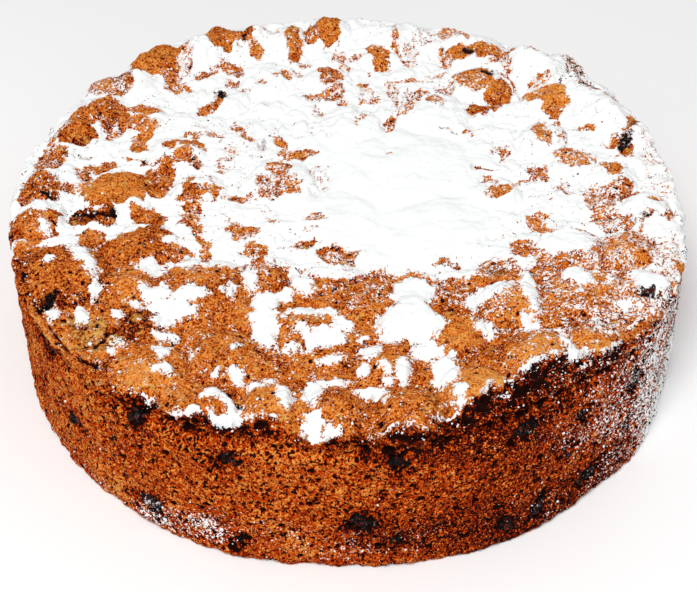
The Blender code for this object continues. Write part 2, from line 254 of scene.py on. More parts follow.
# Layers of soft noise: (weight, size, seed)
SIDE_LINE = ((0.30, 5, 36), (0.20, 2, 37))
TORN_LINE = ((0.9, 4, 85), (0.5, 1.8, 86))
CRUST_GRAIN = ((0.9, 6.5, 41), (0.5, 2.8, 42), (0.24, 1.3, 43))
WALL_GRAIN = ((0.8, 8, 45), (0.5, 3, 46), (0.3, 1.4, 47))
RIM_GRAIN = ((0.9, 8, 68), (0.65, 3, 69))
CRUMBLY_GRAIN = ((0.55, 2.6, 56), (0.3, 1.3, 57))
CAVE_SHAPE = ((0.7, 3, 89), (0.6, 1.5, 90))
GAP_SHAPE = ((0.8, 5.5, 75), (0.7, 2.4, 76))
DATE_OUTLINE = ((1.2, 2.6, 82), (0.8, 1.2, 83))
BASE_WRINKLES = ((0.12, 16, 91), (0.10, 5, 92))
DATE_WRINKLES = ((0.5, 1.1, 101), (0.9, 2.6, 102))
# Noise that moves outlines about: (amount, size, seed)
MARK_SHIFT = (0.45, 2.4, 40)
TONE_SHIFT = (1.5, 8, 72)
DATE_SHIFT = (0.7, 2.4, 80)
# Round pores: (spacing, chance, smallest radius, largest radius, seed)
CRUST_PORES = (3.4, 0.5, 0.45, 0.95, 44)
WIDE_PORES = (3.3, 0.5, 0.7, 1.4, 48)
FINE_PORES = (1.8, 0.9, 0.4, 0.8, 50)
RIM_CHIPS = (6.5, 0.6, 1.4, 3, 67)
TORN_PORES = (4.2, 0.85, 1, 2.3, 54)
BASE_PORES = (4.2, 0.6, 0.8, 2, 90)

# ---------------------------------------------------------------- the icing sugar

# Behind this line, as points (x, y), sugar covers the crust, and in front of it the crust is nearly bare.
SUGAR_FRONT = (
    (-115, -20), (-98, -23), (-84, -26), (-62, -34), (-38, -36), (-28, -33), (0, -35), (26, -38), (45, -37),
    (58, -36), (64, -30), (80, -22), (100, -22), (115, -34),
)
SUGAR_FRONT_WIDTH = 5
# Levels of the sugar: above 0 it covers, below 0 it is left out, and near 0 it speckles
DRIFT, BARE, SOLID = 1.75, -1.5, 4
SOLID_MIDDLE = (16, 10, 38, 40, 0)  # where it is thick: (x, y, half length, half width, turn)
SOLID_EDGE, THIN_EDGE = 9, 1.8  # how softly this patch and the next ones end

# Where the sugar thins or leaves the crust bare behind the line, and speckles it in front:
# (x, y, half length, half width, turn, level)
THIN_PATCHES = (
    # back left
    (-89, 66, 9, 8, 0, -0.5), (-73, 83, 11.5, 9, 50, -2.3), (-66, 73, 4, 7, 15, -1.2),
    (-62, 84, 3, 10, 0, 0.2), (-49, 97, 6, 8.5, 8, -2.3), (-40, 99, 4.5, 5, -30, -1.6),
    (-35, 92, 2.6, 4.4, 20, -1.4), (-34, 103, 6, 1.6, -8, -0.9), (-21, 96, 3, 9, 5, -1.4),
    (-13, 101, 5, 3, 40, -1.1), (-7, 105, 4.4, 10, 3, -2.1), (-7, 76, 5, 7.5, 0, -1.1),
    (-24, 76, 3, 2.6, 0, -1), (-18, 79, 2.6, 1.2, 0, -0.5), (-10, 64, 8, 4, 0, -0.2),
    (-3, 65, 2, 7, 0, -0.4), (-43, 81, 6, 2.6, -25, -1), (-52, 79, 5, 1.2, 25, -0.6),
    (-56, 77, 2.4, 2.4, 0, -0.7), (-45, 73, 3, 2.4, 0, -0.3), (-32, 73, 1.6, 3.6, 10, -1),
    (-39, 68, 2.2, 1.2, 0, -0.6), (-17, 84, 3, 3, 0, -0.1), (-2, 86, 2, 7, 20, -0.4),
    (-47, 62, 2.4, 4, -20, -1.6), (-51.5, 56, 3.6, 3.2, 0, -1.6), (-62, 68, 4, 2, -20, -0.4),
    (-75, 54, 7, 3, -5, -1.5), (-88, 50, 6.5, 7.5, 0, -1.3), (-96, 46, 6, 5, 0, -1.4),
    (-97, 37, 5.4, 6.5, 10, -1.9), (-79, 47, 9, 4, -10, -1.1), (-74, 40, 3, 7, -20, -1.3),
    (-75, 34, 2.4, 4, 10, -1.4), (-84, 43, 6, 3.4, 0, -0.8), (-85, 38, 4, 1.8, 25, -0.4),
    (-104, 38, 2.6, 9, -22, -0.6), (-57, 41, 4.6, 2.2, 0, -0.8), (-48, 40, 4, 1.6, -10, -0.6),
    (-64, 32, 4, 3.4, 30, -1.3), (-55, 33, 5, 2.8, -15, -1.2), (-58, 27, 4, 3, 0, -1.2),
    (-60, 23.5, 9, 2.6, -3, -1.2), (-74, 24, 7, 1.1, -10, -1), (-42, 30, 3, 5, 0, 0.5),
    (-44, 22, 3, 5, 0, 0.4), (-40, 42, 1.4, 6, 15, -0.5), (-36, 37.5, 4, 1.3, -15, -0.8),
    (-24, 34, 2.4, 7, 25, -0.7), (-17, 28.5, 5.5, 3, 10, -0.9), (-24, 19, 5, 6, 0, -0.35),
    (-24, 9.5, 8, 6.5, 25, -0.25), (-9, 18, 1.6, 2.6, 20, 0), (-8, 40, 1.4, 1.6, 0, 0.2),
    (-10, 55, 2.4, 2, 0, 0.1), (-10, 14, 4, 12, 0, 0.9),
    # left
    (-105, 22, 5.5, 10, -15, -0.9), (-106, 4, 7, 9, 0, -1.1), (-106, -12, 8, 9, 0, -1.3),
    (-97, 8, 3, 3, 0, -0.6), (-80, 7, 12.5, 9.5, 20, -2.4), (-66, 13, 5, 9, 0, -1.4),
    (-88, 20, 5, 3.2, 10, -1.2), (-93, 14, 2.6, 5, 20, -0.9), (-52, 8, 7, 8, 0, -1.3),
    (-54, -5, 4, 6, 0, -0.7), (-37, 5, 3.6, 1.6, 20, -0.7), (-43, 4, 2, 1.2, 0, -0.6),
    (-91, -7, 5.4, 5, 0, -1.8), (-82.5, -7, 3.4, 4.4, 0, -1.6), (-68, -8, 7.5, 4.4, -32, -1.4),
    (-67, -16.5, 8.5, 3.4, 3, -1.7), (-72, -27, 12, 9.5, 0, -1.9), (-86, -19, 5, 5.4, 0, -1.5),
    (-51, -16, 2.6, 7, 22, -1.2), (-47, -26, 2.8, 6, 10, -1.3), (-57, -27, 5.5, 4.4, 0, -1.1),
    (-36, -15, 6.4, 4.6, -15, -0.7), (-25, -9, 3, 1.4, 0, 0.2), (-11.5, -8, 4.4, 3.4, 0, 0.1),
    (-13, -14, 6, 1.2, 0, 0.4), (-31, -26, 3.8, 5.6, 0, -0.7), (-15, -21.5, 5.6, 2.4, 15, -0.9),
    (-3, -27, 7, 5, 0, -0.5), (-30, -37, 5, 4, 0, -0.8),
    # back right
    (12, 88, 3.6, 7.5, 12, -1.8), (4, 89, 4, 1.8, 10, -0.3), (18, 98, 2.2, 7.5, 0, -0.7),
    (24, 90, 4, 8, 0, 0.2), (29, 100, 4, 6, 0, 0.4), (49, 89.5, 10, 4.6, 5, -2), (59, 87, 5.4, 4, -20, -1),
    (37, 88, 3, 5.5, 10, -0.5), (38, 101, 4, 3.8, 0, -0.7), (44.5, 101, 2.2, 3.4, 0, -1),
    (48, 72, 8.5, 7, -20, -1.2), (56, 63, 4, 7.5, -12, -1.9), (61, 75, 1.8, 7, 10, -0.8),
    (57, 82, 4, 1.2, 0, -0.7), (47, 55, 3.4, 4.8, 0, -2.2), (52, 57, 3, 1.6, 0, -1.2),
    (69, 62, 4, 3.6, 0, -1.2), (75, 60, 5, 6, 0, -1.4), (79.5, 59, 2.4, 6.5, 0, -1.7),
    (76, 52, 3, 4, 0, -1.5), (73, 69, 4, 3, 0, -0.5), (85, 76, 4.4, 7, 15, -0.4), (89, 66, 4, 5, 20, -0.5),
    (71, 82, 3, 2, 0, -0.5), (78, 87, 2, 4, 15, -0.3), (65, 92, 8, 4, -20, 0.6), (96, 57, 3, 4, 30, 0.2),
    (70.5, 39, 2.8, 7.5, 8, -1), (77, 45, 2, 2.4, 0, -0.8), (77, 37, 1.4, 3.6, 10, -0.5),
    (86, 41, 3.6, 1.8, -30, -0.9), (55, 29, 4.4, 2.6, 20, -0.3), (47.5, 19.5, 4, 1.2, 10, -1),
    (52, 5, 5.6, 4.4, 20, -1), (57, 7.5, 3.6, 1.8, 35, -1.1), (49, 12, 2.4, 4, 10, 0),
    (67, 17, 4.4, 5, 0, -0.5), (62, 13, 3, 1.2, 30, -0.7), (79, 24, 6.5, 6.5, -25, -0.5),
    (86, 22.5, 3, 2, 0, -0.7), (76, 8, 4, 2.4, 0, 0.6), (93, 16, 5.4, 3.4, -50, -1),
    (94, 7, 6, 3.4, 20, -0.9), (87, 1, 7, 8, 0, 0), (99, 2.5, 2, 4, 10, -0.5), (106, -1, 3, 2.2, 20, -0.7),
    (95.5, 33.5, 4.6, 2.2, 42, -1.6), (103.5, 42, 2.2, 4.6, 0, -1.6), (98.5, 28, 2.4, 3.2, -20, -1.7),
    (100, 36, 1.6, 7, -25, -0.6), (8.5, 61, 4.6, 3, 0, -0.5), (6, 66, 3, 5, 0, 0.2),
    (17, 66, 2.6, 6.5, 5, -0.6), (22, 61, 1.8, 8, -15, -0.5), (26, 66, 4.4, 4, 0, -0.3),
    (36, 67, 4, 3.6, 30, -0.3), (33, 58, 4.6, 2.8, -25, -0.9), (26.5, 60.5, 2, 2, 0, -0.7),
    (15, 47, 3, 5, 0, -0.5), (20, 54, 3.4, 3.6, 0, -0.3), (42.5, 41, 2, 1.4, 0, -1),
    (36, 41.5, 4, 1.3, -5, 0), (25, 73.5, 7.5, 1.1, 0, -0.7), (34, 77, 4.4, 1.1, 15, -0.8),
    (7, 73, 2, 2.4, 0, -0.9), (8, 79, 1.4, 3, 20, -0.3), (6, 51, 4, 2, 0, 0.2), (3, 47, 2, 2, 0, 0.2),
    (15, 27, 1.6, 1.2, -40, -0.3), (108, 15, 3, 16, 5, 0.9), (106, 30, 3, 8, -10, 0.7),
    # right, and the speckled ground in front of it
    (64, -10, 3.6, 5.5, 0, -0.6), (66, -16, 2.4, 5, -10, -0.8), (58.5, -25, 5, 5.5, 20, -0.6),
    (67, -26, 3.4, 2.4, 20, -0.3), (90, -10, 7.5, 7, 0, -0.3), (101, -13, 2.4, 4.4, -20, -1),
    (108, -9, 5, 1.6, 10, -0.8), (96, -24, 9, 6, 0, -0.45), (78, -18, 4, 1.2, 15, -0.5),
    (32, -32.5, 5, 1.8, 0, -0.8), (47, -35, 5, 4.4, 0, -0.6), (54, -34, 2.6, 3.6, 40, -0.4),
    (74, -46, 15, 17, 0, -0.5), (85, -33, 10, 11, 0, -0.45), (66, -33, 5, 6, 0, -0.5),
    (92, -42, 9, 8, 0, -0.1), (86, -60, 13, 6, 35, 0.1), (101, -42, 6, 16, -15, 0.4),
    (106, -24, 5, 10, -10, 0.6), (2, -46, 11, 9, 0, -0.75), (33, -46, 7, 6, 0, -0.35),
    (47, -53, 10, 6, 25, -0.6), (22, -38, 6, 3, 0, -0.6), (57, -50, 4, 10, 0, -0.8),
    (52, -86, 8, 8, 0, -1.5), (47, -75, 10, 4, -30, -1.4), (-30, -35, 6, 5, 0, -0.6),
    (60, -77, 11, 9, 0, -1.1), (38, -95, 12, 10, 0, -2.2), (-22, -100, 12, 9, 0, -2.2),
    (-8, -60, 9, 12, 0, -1.3), (-93, -36, 13, 10, 0, -2), (-26, -103, 22, 4, -5, -1.5),
    (33, -66, 11, 9, 0, -2.1),
)
# Thick sugar with a clean edge: (x, y, half length, half width, turn)
CLUMPS = (
    # left of the middle
    (-87, -33, 8, 2.1, -55), (-82, -46, 1.5, 4, 0), (-98.5, -34, 1.7, 1.5, 30), (-85, -57, 2.4, 3.2, 15),
    (-94.5, -57, 1.5, 2.6, 20), (-73, -57, 2, 1.4, 0), (-72, -68.5, 1.6, 2.2, 20),
    (-73.5, -73.5, 1.4, 1.2, 0), (-62, -48, 4.4, 4.4, 0), (-57, -55.5, 8, 3.8, -15),
    (-51.5, -50, 5.4, 3, 20), (-59, -60, 3.4, 2.6, 0), (-67, -53, 4, 1.4, -25), (-66, -33.5, 5, 3.8, -20),
    (-57.5, -67, 3.6, 1.8, -20), (-58, -75.5, 2.8, 3.4, 25), (-57, -83.5, 2.4, 2.2, 0),
    (-32.5, -40, 2.4, 6.5, 10), (-27, -50, 5.4, 5, 0), (-27, -62, 4.6, 10, 5), (-21, -47, 3, 2.4, 0),
    (-15.5, -41, 3.4, 6.5, 30), (-9, -35, 7, 3, 0), (-1, -37, 5, 2.4, 10), (-15, -57.5, 6, 2.4, -5),
    (-7, -56, 3, 2.4, 0), (-3, -62, 2.6, 4.4, 20), (-7, -68, 6, 4.6, 10), (-13, -68, 1.6, 3.6, 0),
    (-18, -73, 1.9, 2.2, 0), (-22.5, -72.2, 1.3, 1.2, 0), (-15.6, -65, 1.5, 1.3, 0),
    (-6, -77.6, 3.6, 2, 10), (-13, -74.5, 1.2, 1, 0), (-36, -74, 1.1, 1.4, 0), (-41, -84.5, 1.2, 1.2, 0),
    (-34.5, -86, 1.9, 3, 25), (-28, -90, 2.8, 2.2, 0), (-24, -86.6, 2, 1.3, 0), (-38, -47.5, 1.5, 3, 15),
    (-41.2, -47.4, 0.9, 0.9, 0), (-19, -97.5, 1.9, 5.2, 8), (-41, -95, 3.4, 2.6, 15),
    (-35.5, -99, 2.6, 5, 30), (-47.5, -102, 1.8, 1.2, 0), (-38, -104.5, 3.6, 1.3, -10),
    (-11.5, -93, 2.6, 6.2, 0), (-5.5, -88.6, 5, 1.8, 8), (-11, -107, 2.8, 4.4, 0), (-6, -109.5, 3, 1.8, 0),
    (-49, -75, 1, 1.6, 20), (-67, -46, 1.2, 1.6, 20), (-51, 10, 3.2, 2.8, 0), (-48.5, 2.5, 2, 1.6, 0),
    (-105, -4, 4.6, 3, 0), (-103, -14.5, 1.6, 2.4, 30),
    # right of the middle
    (20.5, -47.5, 7, 9, 0), (19.5, -62, 10.6, 8.8, 0), (14.5, -68, 4.4, 3.2, 0), (24, -75, 4.6, 4.2, -20),
    (29.5, -83.5, 4, 7.4, -10), (16.8, -84, 2.1, 5, 0), (33, -93.6, 1.8, 3.2, 0), (32.4, -98, 1.6, 1, 0),
    (6.5, -75.5, 3.4, 3.2, 0), (4, -69, 1.6, 1.4, 0), (4.5, -83.6, 1.4, 2.2, 0), (11, -83, 1.4, 1.9, 0),
    (6, -93, 4, 2.4, 5), (12, -88, 0.9, 1.1, 0), (11, -97, 1, 1.8, 0), (46, -96, 3.2, 1.6, 5),
    (43, -64, 2.6, 4.2, 35), (45, -48, 9, 3.4, 30), (58.3, -46, 2.6, 13, 3), (57, -62, 2.4, 3.4, 30),
    (74.5, -41, 5.2, 3.8, -30), (72, -23, 9.5, 6.5, -10), (96.5, -3.5, 5, 5.6, 0), (104.5, -15, 6, 4.4, 10),
    (97, -43.5, 5.6, 6.2, 20), (88.5, -53, 3.8, 1.7, 12), (66.5, -72, 2.4, 2.4, 0), (69, -78, 1.4, 3.8, 10),
    (72, -82, 3, 1.2, 30), (62, -65.8, 9, 0.7, -3), (34, -37.5, 8, 1.8, 0),
)
CLUMP_STEEPNESS, CLUMP_START = 1.5, 0.5  # how the level climbs from the outline of a clump inwards
# A line of sugar along the crust's edge: (angle, half width, strength)
SUGAR_LINE = ((288, 6, 0.9), (302, 9, 0.75), (317, 7, 0.6), (254, 9, 0.95), (276, 4, 0.7), (239, 7, 0.6))
SUGAR_LINE_LEVEL = 3.3
# The wall is dusted at the right: (angle, half width, level)
WALL_BARE = -2.3
WALL_DUSTED = ((350, 20, 2.7), (22, 16, 1.3), (328, 12, 1.6), (316, 8, 0.9), (305, 8, 0.7))
DUSTED_LESS_HIGH = ((338, 14, 1),)
DUSTED_MORE_LOW = ((338, 10, 1),)
DUSTED_MORE = ((318, 6, 0.3),)
DUSTED_BACK_FOOT = ((120, 18, 1), (75, 9, 0.8))
# Patches of it: (angle, height, half width, half height, turn, level, width of the edge)
WALL_PATCHES = (
    (315, 9, 9, 15, 0, -0.7, 8), (316, 52, 8, 8, 0, -0.5, 8), (242, 9, 9, 7, 0, 1.35, 4),
    (222, 3, 20, 5, 0, 1.1, 4), (262, 13, 22, 10, 0, 0.9, 8),
)
# Noise that moves outlines about, coarse and fine: (amount, size, seed)
FRONT_SHIFT, FRONT_JITTER = (1.1, 7, 20), (0.55, 2.6, 22)
CLUMP_SHIFT, CLUMP_JITTER = (0.7, 3.4, 24), (0.4, 1.5, 26)
# Layers of soft noise: (weight, size, seed)
SPECKLE = ((0.45, 3.6, 34), (0.6, 1.25, 35))
BACK_ROLL = ((1, 5, 77), (0.6, 2.2, 78))
SUGAR_FOLDS = ((0.16, 9, 60), (0.10, 3.4, 61), (0.05, 1.5, 62))

# Loose sugar: where the share is 1, this many lie on a square metre
GRAINS_PER_AREA, LUMPS_PER_AREA = 190000.0, 9000.0
SMALLEST_LUMP, LARGEST_LUMP = 0.5 * MM, 1.4 * MM
LUMP_UNEVENNESS = 0.8 * MM  # size of the noise that makes them uneven

# ---------------------------------------------------------------- the colours and sizes a user would change


def colour(name, description, default):
    return bpy.props.FloatVectorProperty(
        name=name, description=description, default=default, subtype="COLOR", size=3, min=0, max=1
    )


def length(name, description, default):
    return bpy.props.FloatProperty(
        name=name, description=description, default=default * MM,
        unit="LENGTH", subtype="DISTANCE", min=0, precision=5,
    )


class DateCakeSizes(bpy.types.PropertyGroup):
    """How rough the cake is, and how deep the sugar lies."""

    crust_grain: length("Crust grain", "Height of the crust's finer relief", 0.50)
    wall_grain: length("Wall grain", "Height of the wall's finer relief", 0.50)
    pore_depth: length("Pore depth", "Depth of the largest pores of the wall", 1.6)
    drift_depth: length("Drift depth", "Depth of the sugar where it lies in drifts", 0.55)
    clump_depth: length("Clump depth", "Depth of the thick lumps of sugar", 1.1)
    smallest_grain: length("Smallest grain", "Radius of the smallest loose grains of sugar", 0.14)
    largest_grain: length("Largest grain", "Radius of the largest loose grains of sugar", 0.55)
    date_wrinkles: length("Date wrinkles", "Height of the wrinkles on the pieces of date", 0.8)


class DateCakeColours(bpy.types.PropertyGroup):
    """Colours of the crust, the crumb of the wall, the dates and the sugar."""

    crust_pale: colour("Crust, pale", "Palest crumbs of the crust", (0.75, 0.34, 0.085))
    # The light crust stands partly for painted light on the tops of the lumps, and the dark crust partly for
    # painted shade in the valleys.
    crust_light: colour("Crust, light", "Tops of the crust's lumps", (0.69, 0.215, 0.033))
    crust_mid: colour("Crust", "Most of the crust", (0.54, 0.120, 0.012))
    crust_dark: colour("Crust, dark", "Valleys of the crust", (0.26, 0.023, 0.002))
    crumb_pale: colour("Crumb, pale", "Palest webs between the wall's pores", (0.70, 0.27, 0.050))
    crumb_light: colour("Crumb, light", "Webs between the wall's pores", (0.55, 0.082, 0.004))
    crumb_mid: colour("Crumb", "Most of the wall", (0.34, 0.024, 0.001))
    # The dark crumb stands partly for painted shade in the hollows, and the pore colour is painted shadow in
    # pores, pinholes, caves and gaps.
    crumb_dark: colour("Crumb, dark", "Hollows of the wall", (0.100, 0.006, 0.001))
    pore: colour("Pore", "Depths of the pores", (0.014, 0.003, 0.002))
    broken: colour("Broken crust", "Crumb that shows where the crust is torn", (0.50, 0.22, 0.040))
    broken_pale: colour("Broken crust, pale", "Palest crumb where the crust is torn", (0.70, 0.40, 0.11))
    date: colour("Date", "Flesh of the dates", (0.004, 0.004, 0.0045))
    # The sheen is a painted highlight on the ridges of the dates.
    date_sheen: colour("Date, sheen", "Painted highlight on the ridges of the dates", (0.070, 0.075, 0.075))
    sugar: colour("Sugar", "Icing sugar", (0.90, 0.92, 0.915))
    sugar_thin: colour("Sugar, thin", "Icing sugar where it lies thin", (0.84, 0.76, 0.74))


# ---------------------------------------------------------------- noise


def even_directions():
    ways = np.random.default_rng(7).normal(size=(256, 3))
    return ways / np.linalg.norm(ways, axis=1)[:, None]


DIRECTIONS = even_directions()
NOISE_SPREAD = 0.27  # of plain gradient noise, so that soft_noise has a spread of about one


def cell_number(cells, seed):
    """A scrambled whole number for each cell of a lattice."""
    mixed = cells[:, 0] * 374761393 + cells[:, 1] * 668265263 + cells[:, 2] * 1440662683 + seed * 2246822519
    mixed = (mixed ^ (mixed >> 15)) * 2654435761
    return (mixed ^ (mixed >> 13)) & 0xFFFFFFF


def soft_noise(points, size, seed):
    """Smooth noise of about unit spread, with features of this size."""
    place = points / size
    cell = np.floor(place).astype(np.int64)
    inside = place - cell
    ease = inside**3 * (inside * (inside * 6 - 15) + 10)
    total = np.zeros(len(points))
    for corner in itertools.product((0, 1), repeat=3):
        towards = DIRECTIONS[cell_number(cell + np.array(corner), seed) & 255]
        weight = np.prod(np.where(corner, ease, 1 - ease), axis=1)
        total += weight * np.sum(towards * (inside - corner), axis=1)
    return total / NOISE_SPREAD


def layered(points, layers):
    """Sum of layers of soft noise, each (weight, size, seed)."""
    return sum(weight * soft_noise(points, size, seed) for weight, size, seed in layers)


def pores(points, spacing, chance, smallest, largest, seed):
    """How deep each point lies in round pores: 0 outside them and 1 in the middle of one."""
    place = points / spacing
    home = np.floor(place).astype(np.int64)
    deepest = np.zeros(len(points))
    for step in itertools.product((-1, 0, 1), repeat=3):
        cell = home + np.array(step)
        code = cell_number(cell, seed)
        middle = cell + np.stack([code & 255, code >> 8 & 255, code >> 16 & 255], 1) / 255
        code = cell_number(cell, seed + 1)
        radius = (smallest + (largest - smallest) * (code & 255) / 255) / spacing
        away = np.linalg.norm(place - middle, axis=1) / radius
        open_here = (code >> 8 & 255) < chance * 255
        deepest = np.maximum(deepest, np.where(open_here, 1 - away**2, 0))
    return deepest


def eased(share):
    """0 below 0, 1 above 1, and a smooth rise between."""
    share = np.clip(share, 0, 1)
    return share * share * (3 - 2 * share)


def bell(away):
    """1 where away is 0, and falling smoothly to 0 on both sides."""
    return np.exp(-(away**2))


# ---------------------------------------------------------------- forms that the solids have too


def swell(angle, swells):
    """Sum of soft bumps (angle, half width, height) at each angle in degrees."""
    total = np.zeros(np.shape(angle))
    for middle, half_width, height in swells:
        away = (angle - middle + 180) % 360 - 180
        total += height * bell(away / half_width)
    return total


def wall_radius(angle, height):
    share = np.clip(height / VALLEY_HEIGHT, 0, 1)
    return TIN_RADIUS + share * swell(angle, RIM_SWELLS) + (1 - share) * swell(angle, FOOT_SWELLS)


def lump_rise(x, y):
    """Height of the crust's lumps over its valleys."""
    total = np.zeros(np.shape(x))
    for lump_x, lump_y, radius, rise in CRUST_LUMPS:
        away = np.hypot(x - lump_x, y - lump_y) / radius
        total += np.where(away < 1, rise * (1 - away**2), 0) ** LUMP_SHARPNESS
    return total ** (1 / LUMP_SHARPNESS)


def lump_edges(x, y):
    """1 on the lines where a lump of the crust meets its neighbour or the level crust, and 0 elsewhere."""
    best, second = np.zeros(len(x)), np.full(len(x), -9.0)
    for lump_x, lump_y, radius, rise in CRUST_LUMPS:
        height = rise * (1 - (np.hypot(x - lump_x, y - lump_y) / radius) ** 2)
        second = np.maximum(second, np.minimum(best, height))
        best = np.maximum(best, height)
    return bell((best - second) / EDGE_WIDTH)


def crust_height(x, y):
    sag = CENTRE_SAG * np.maximum(0, 1 - np.hypot(x, y) / TIN_RADIUS)
    ripple = [noise.noise(Vector((a, b, 0))) for a, b in zip(x / RIPPLE_SIZE, y / RIPPLE_SIZE)]
    return VALLEY_HEIGHT + lump_rise(x, y) - sag + RIPPLE * np.array(ripple)


def back_dates():
    """Like WALL_DATES, for the half of the wall that faces away."""
    for i in range(BACK_DATES):
        share = i / (BACK_DATES - 1)
        angle = BACK_FIRST_ANGLE + share * (BACK_LAST_ANGLE - BACK_FIRST_ANGLE)
        height = BACK_LOWEST + BACK_SPREAD * (i * GOLDEN_SHARE % 1)
        half_width = BACK_HALF_WIDTHS[i % len(BACK_HALF_WIDTHS)]
        half_height = BACK_HALF_HEIGHTS[i % len(BACK_HALF_HEIGHTS)]
        yield angle, height, half_width, half_height, BACK_TILT * math.sin(TILT_STEP * i)


# ---------------------------------------------------------------- patches on the crust and the wall


def reach(x, y, patch):
    """Distance from the middle of an oval patch, 1 at its outline."""
    middle_x, middle_y, half_length, half_width, turn = patch[:5]
    turn = math.radians(turn)
    along = (x - middle_x) * math.cos(turn) + (y - middle_y) * math.sin(turn)
    across = (y - middle_y) * math.cos(turn) - (x - middle_x) * math.sin(turn)
    return np.hypot(along / half_length, across / half_width)


def covered(x, y, patch, edge):
    """1 inside an oval patch and 0 outside, with an edge this wide."""
    return eased((1 - reach(x, y, patch)) * min(patch[2:4]) / edge + 0.5)


def from_segment(x, y, segment):
    """Distance from a straight line between two points."""
    start_x, start_y, end_x, end_y = segment[:4]
    run_x, run_y = end_x - start_x, end_y - start_y
    share = np.clip(((x - start_x) * run_x + (y - start_y) * run_y) / (run_x**2 + run_y**2), 0, 1)
    return np.hypot(x - start_x - share * run_x, y - start_y - share * run_y)


def wandering(points, amount, size, seed):
    """x and y of the points, moved about by noise so that outlines come out ragged."""
    return (
        points[:, 0] + amount * soft_noise(points, size, seed),
        points[:, 1] + amount * soft_noise(points, size, seed + 1),
    )


def strongest(x, y, patches, edge):
    """The largest share that any of the patches has at each point; the share comes last in a patch."""
    total = np.zeros(len(x))
    for patch in patches:
        total = np.maximum(total, patch[5] * covered(x, y, patch, edge))
    return total


def date_cover(points, angle):
    """1 where a piece of date shows in the skin and 0 elsewhere, and how much it stains the crumb."""
    x, y = wandering(points, *DATE_SHIFT)
    total, halo = np.zeros(len(points)), np.zeros(len(points))
    top = points[:, 2] > VALLEY_HEIGHT - ROLL_DROP - 2
    for (date_x, date_y, half_length, half_width, turn), share in zip(CRUST_DATES, CRUST_DATES_OPEN):
        patch = (date_x, date_y, half_length * share, half_width * share, turn)
        total = np.maximum(total, covered(x, y, patch, 1) * top)
    shift = layered(points, DATE_OUTLINE)
    for middle, height, half_width, half_height, tilt in itertools.chain(WALL_DATES, back_dates()):
        along = -np.radians((angle - middle + 180) % 360 - 180) * TIN_RADIUS
        up = points[:, 2] - height
        patch = (0, 0, half_width * DATE_OPENING, half_height * DATE_OPENING, -tilt)
        found = covered(along + shift, up - shift, patch, 1)
        total = np.maximum(total, found * ~(top & (up > half_height)))
        patch = (0, 0, half_width * DATE_HALO, half_height * DATE_HALO, -tilt)
        halo = np.maximum(halo, covered(along + 1.6 * shift, up - 1.6 * shift, patch, 3.5))
    return total, halo


# ---------------------------------------------------------------- sugar


def ragged_place(points, shift, jitter):
    """x and y of the points, moved about by a coarse and a fine noise, each (amount, size, seed)."""
    x, y = wandering(points, *shift)
    fine_x, fine_y = wandering(points, *jitter)
    return x + fine_x - points[:, 0], y + fine_y - points[:, 1]


def crust_sugar(points):
    """Level of the sugar on the crust, and how far inside a clump each point lies, below 0 outside."""
    x, y = ragged_place(points, FRONT_SHIFT, FRONT_JITTER)
    front_x, front_y = np.array(SUGAR_FRONT, float).T
    behind = eased((y - np.interp(x, front_x, front_y)) / SUGAR_FRONT_WIDTH + 0.5)
    level = BARE + (DRIFT - BARE) * behind
    level += (SOLID - level) * covered(x, y, SOLID_MIDDLE, SOLID_EDGE)
    for patch in THIN_PATCHES:
        level += (patch[5] - level) * covered(x, y, patch, THIN_EDGE)

    x, y = ragged_place(points, CLUMP_SHIFT, CLUMP_JITTER)
    inside = np.full(len(points), -9.0)
    for patch in CLUMPS:
        inside = np.maximum(inside, (1 - reach(x, y, patch)) * min(patch[2:4]))
    return np.maximum(level, np.minimum(CLUMP_STEEPNESS * inside + CLUMP_START, SOLID)), inside


def wall_sugar(points, angle):
    """Level of the sugar on the wall."""
    height = points[:, 2]
    level = WALL_BARE + 0.35 * soft_noise(points, 16, 30) + swell(angle, WALL_DUSTED)
    level -= 0.8 * eased((height - 34) / 18) * swell(angle, DUSTED_LESS_HIGH)
    level += 0.6 * eased((28 - height) / 20) * swell(angle, DUSTED_MORE_LOW) + swell(angle, DUSTED_MORE)
    for patch in WALL_PATCHES:
        level += patch[5] * covered(angle, height, patch, patch[6])
    return level + 1.2 * swell(angle, DUSTED_BACK_FOOT) * eased((25 - height) / 20)


def speckle(points):
    return layered(points, SPECKLE)


# ---------------------------------------------------------------- the skin


def disc_grid(steps):
    """Reach from the middle and angle of the points of a square grid, bent into the unit disc."""
    line = np.arange(-steps, steps + 1) / steps
    u, v = np.meshgrid(line, line)
    wide = np.abs(u) >= np.abs(v)
    far, near = np.where(wide, u, v), np.where(wide, v, u)
    bend = np.pi / 4 * np.divide(near, far, out=np.zeros_like(near), where=far != 0)
    x = far * np.where(wide, np.cos(bend), np.sin(bend))
    y = far * np.where(wide, np.sin(bend), np.cos(bend))
    return np.abs(far).ravel(), np.arctan2(y, x).ravel()


def grid_faces(rows):
    """The quads between neighbouring rows of point numbers."""
    return np.stack([rows[:-1, :-1], rows[:-1, 1:], rows[1:, 1:], rows[1:, :-1]], -1).reshape(-1, 4)


def disc_numbers(steps):
    """Point numbers of a disc grid, row by row."""
    side = 2 * steps + 1
    return np.arange(side * side).reshape(side, side)


def border_numbers(steps):
    """Point numbers round the border of a disc grid, anticlockwise from angle 0."""
    numbers = disc_numbers(steps)
    right, top = numbers[:, -1], numbers[-1, ::-1]
    left, bottom = numbers[::-1, 0], numbers[0, :]
    round_trip = np.concatenate([right[:-1], top[:-1], left[:-1], bottom[:-1]])
    return np.roll(round_trip, -steps)


def rim_radius(turn):
    """Radius at the rim, where lumps of the crust hang out a little."""
    angle = np.degrees(turn) % 360
    radius = wall_radius(angle, VALLEY_HEIGHT)
    bulge = RIM_BULGE * lump_rise(radius * np.cos(turn), radius * np.sin(turn))
    return radius, bulge + swell(angle, RIM_OVERHANG)


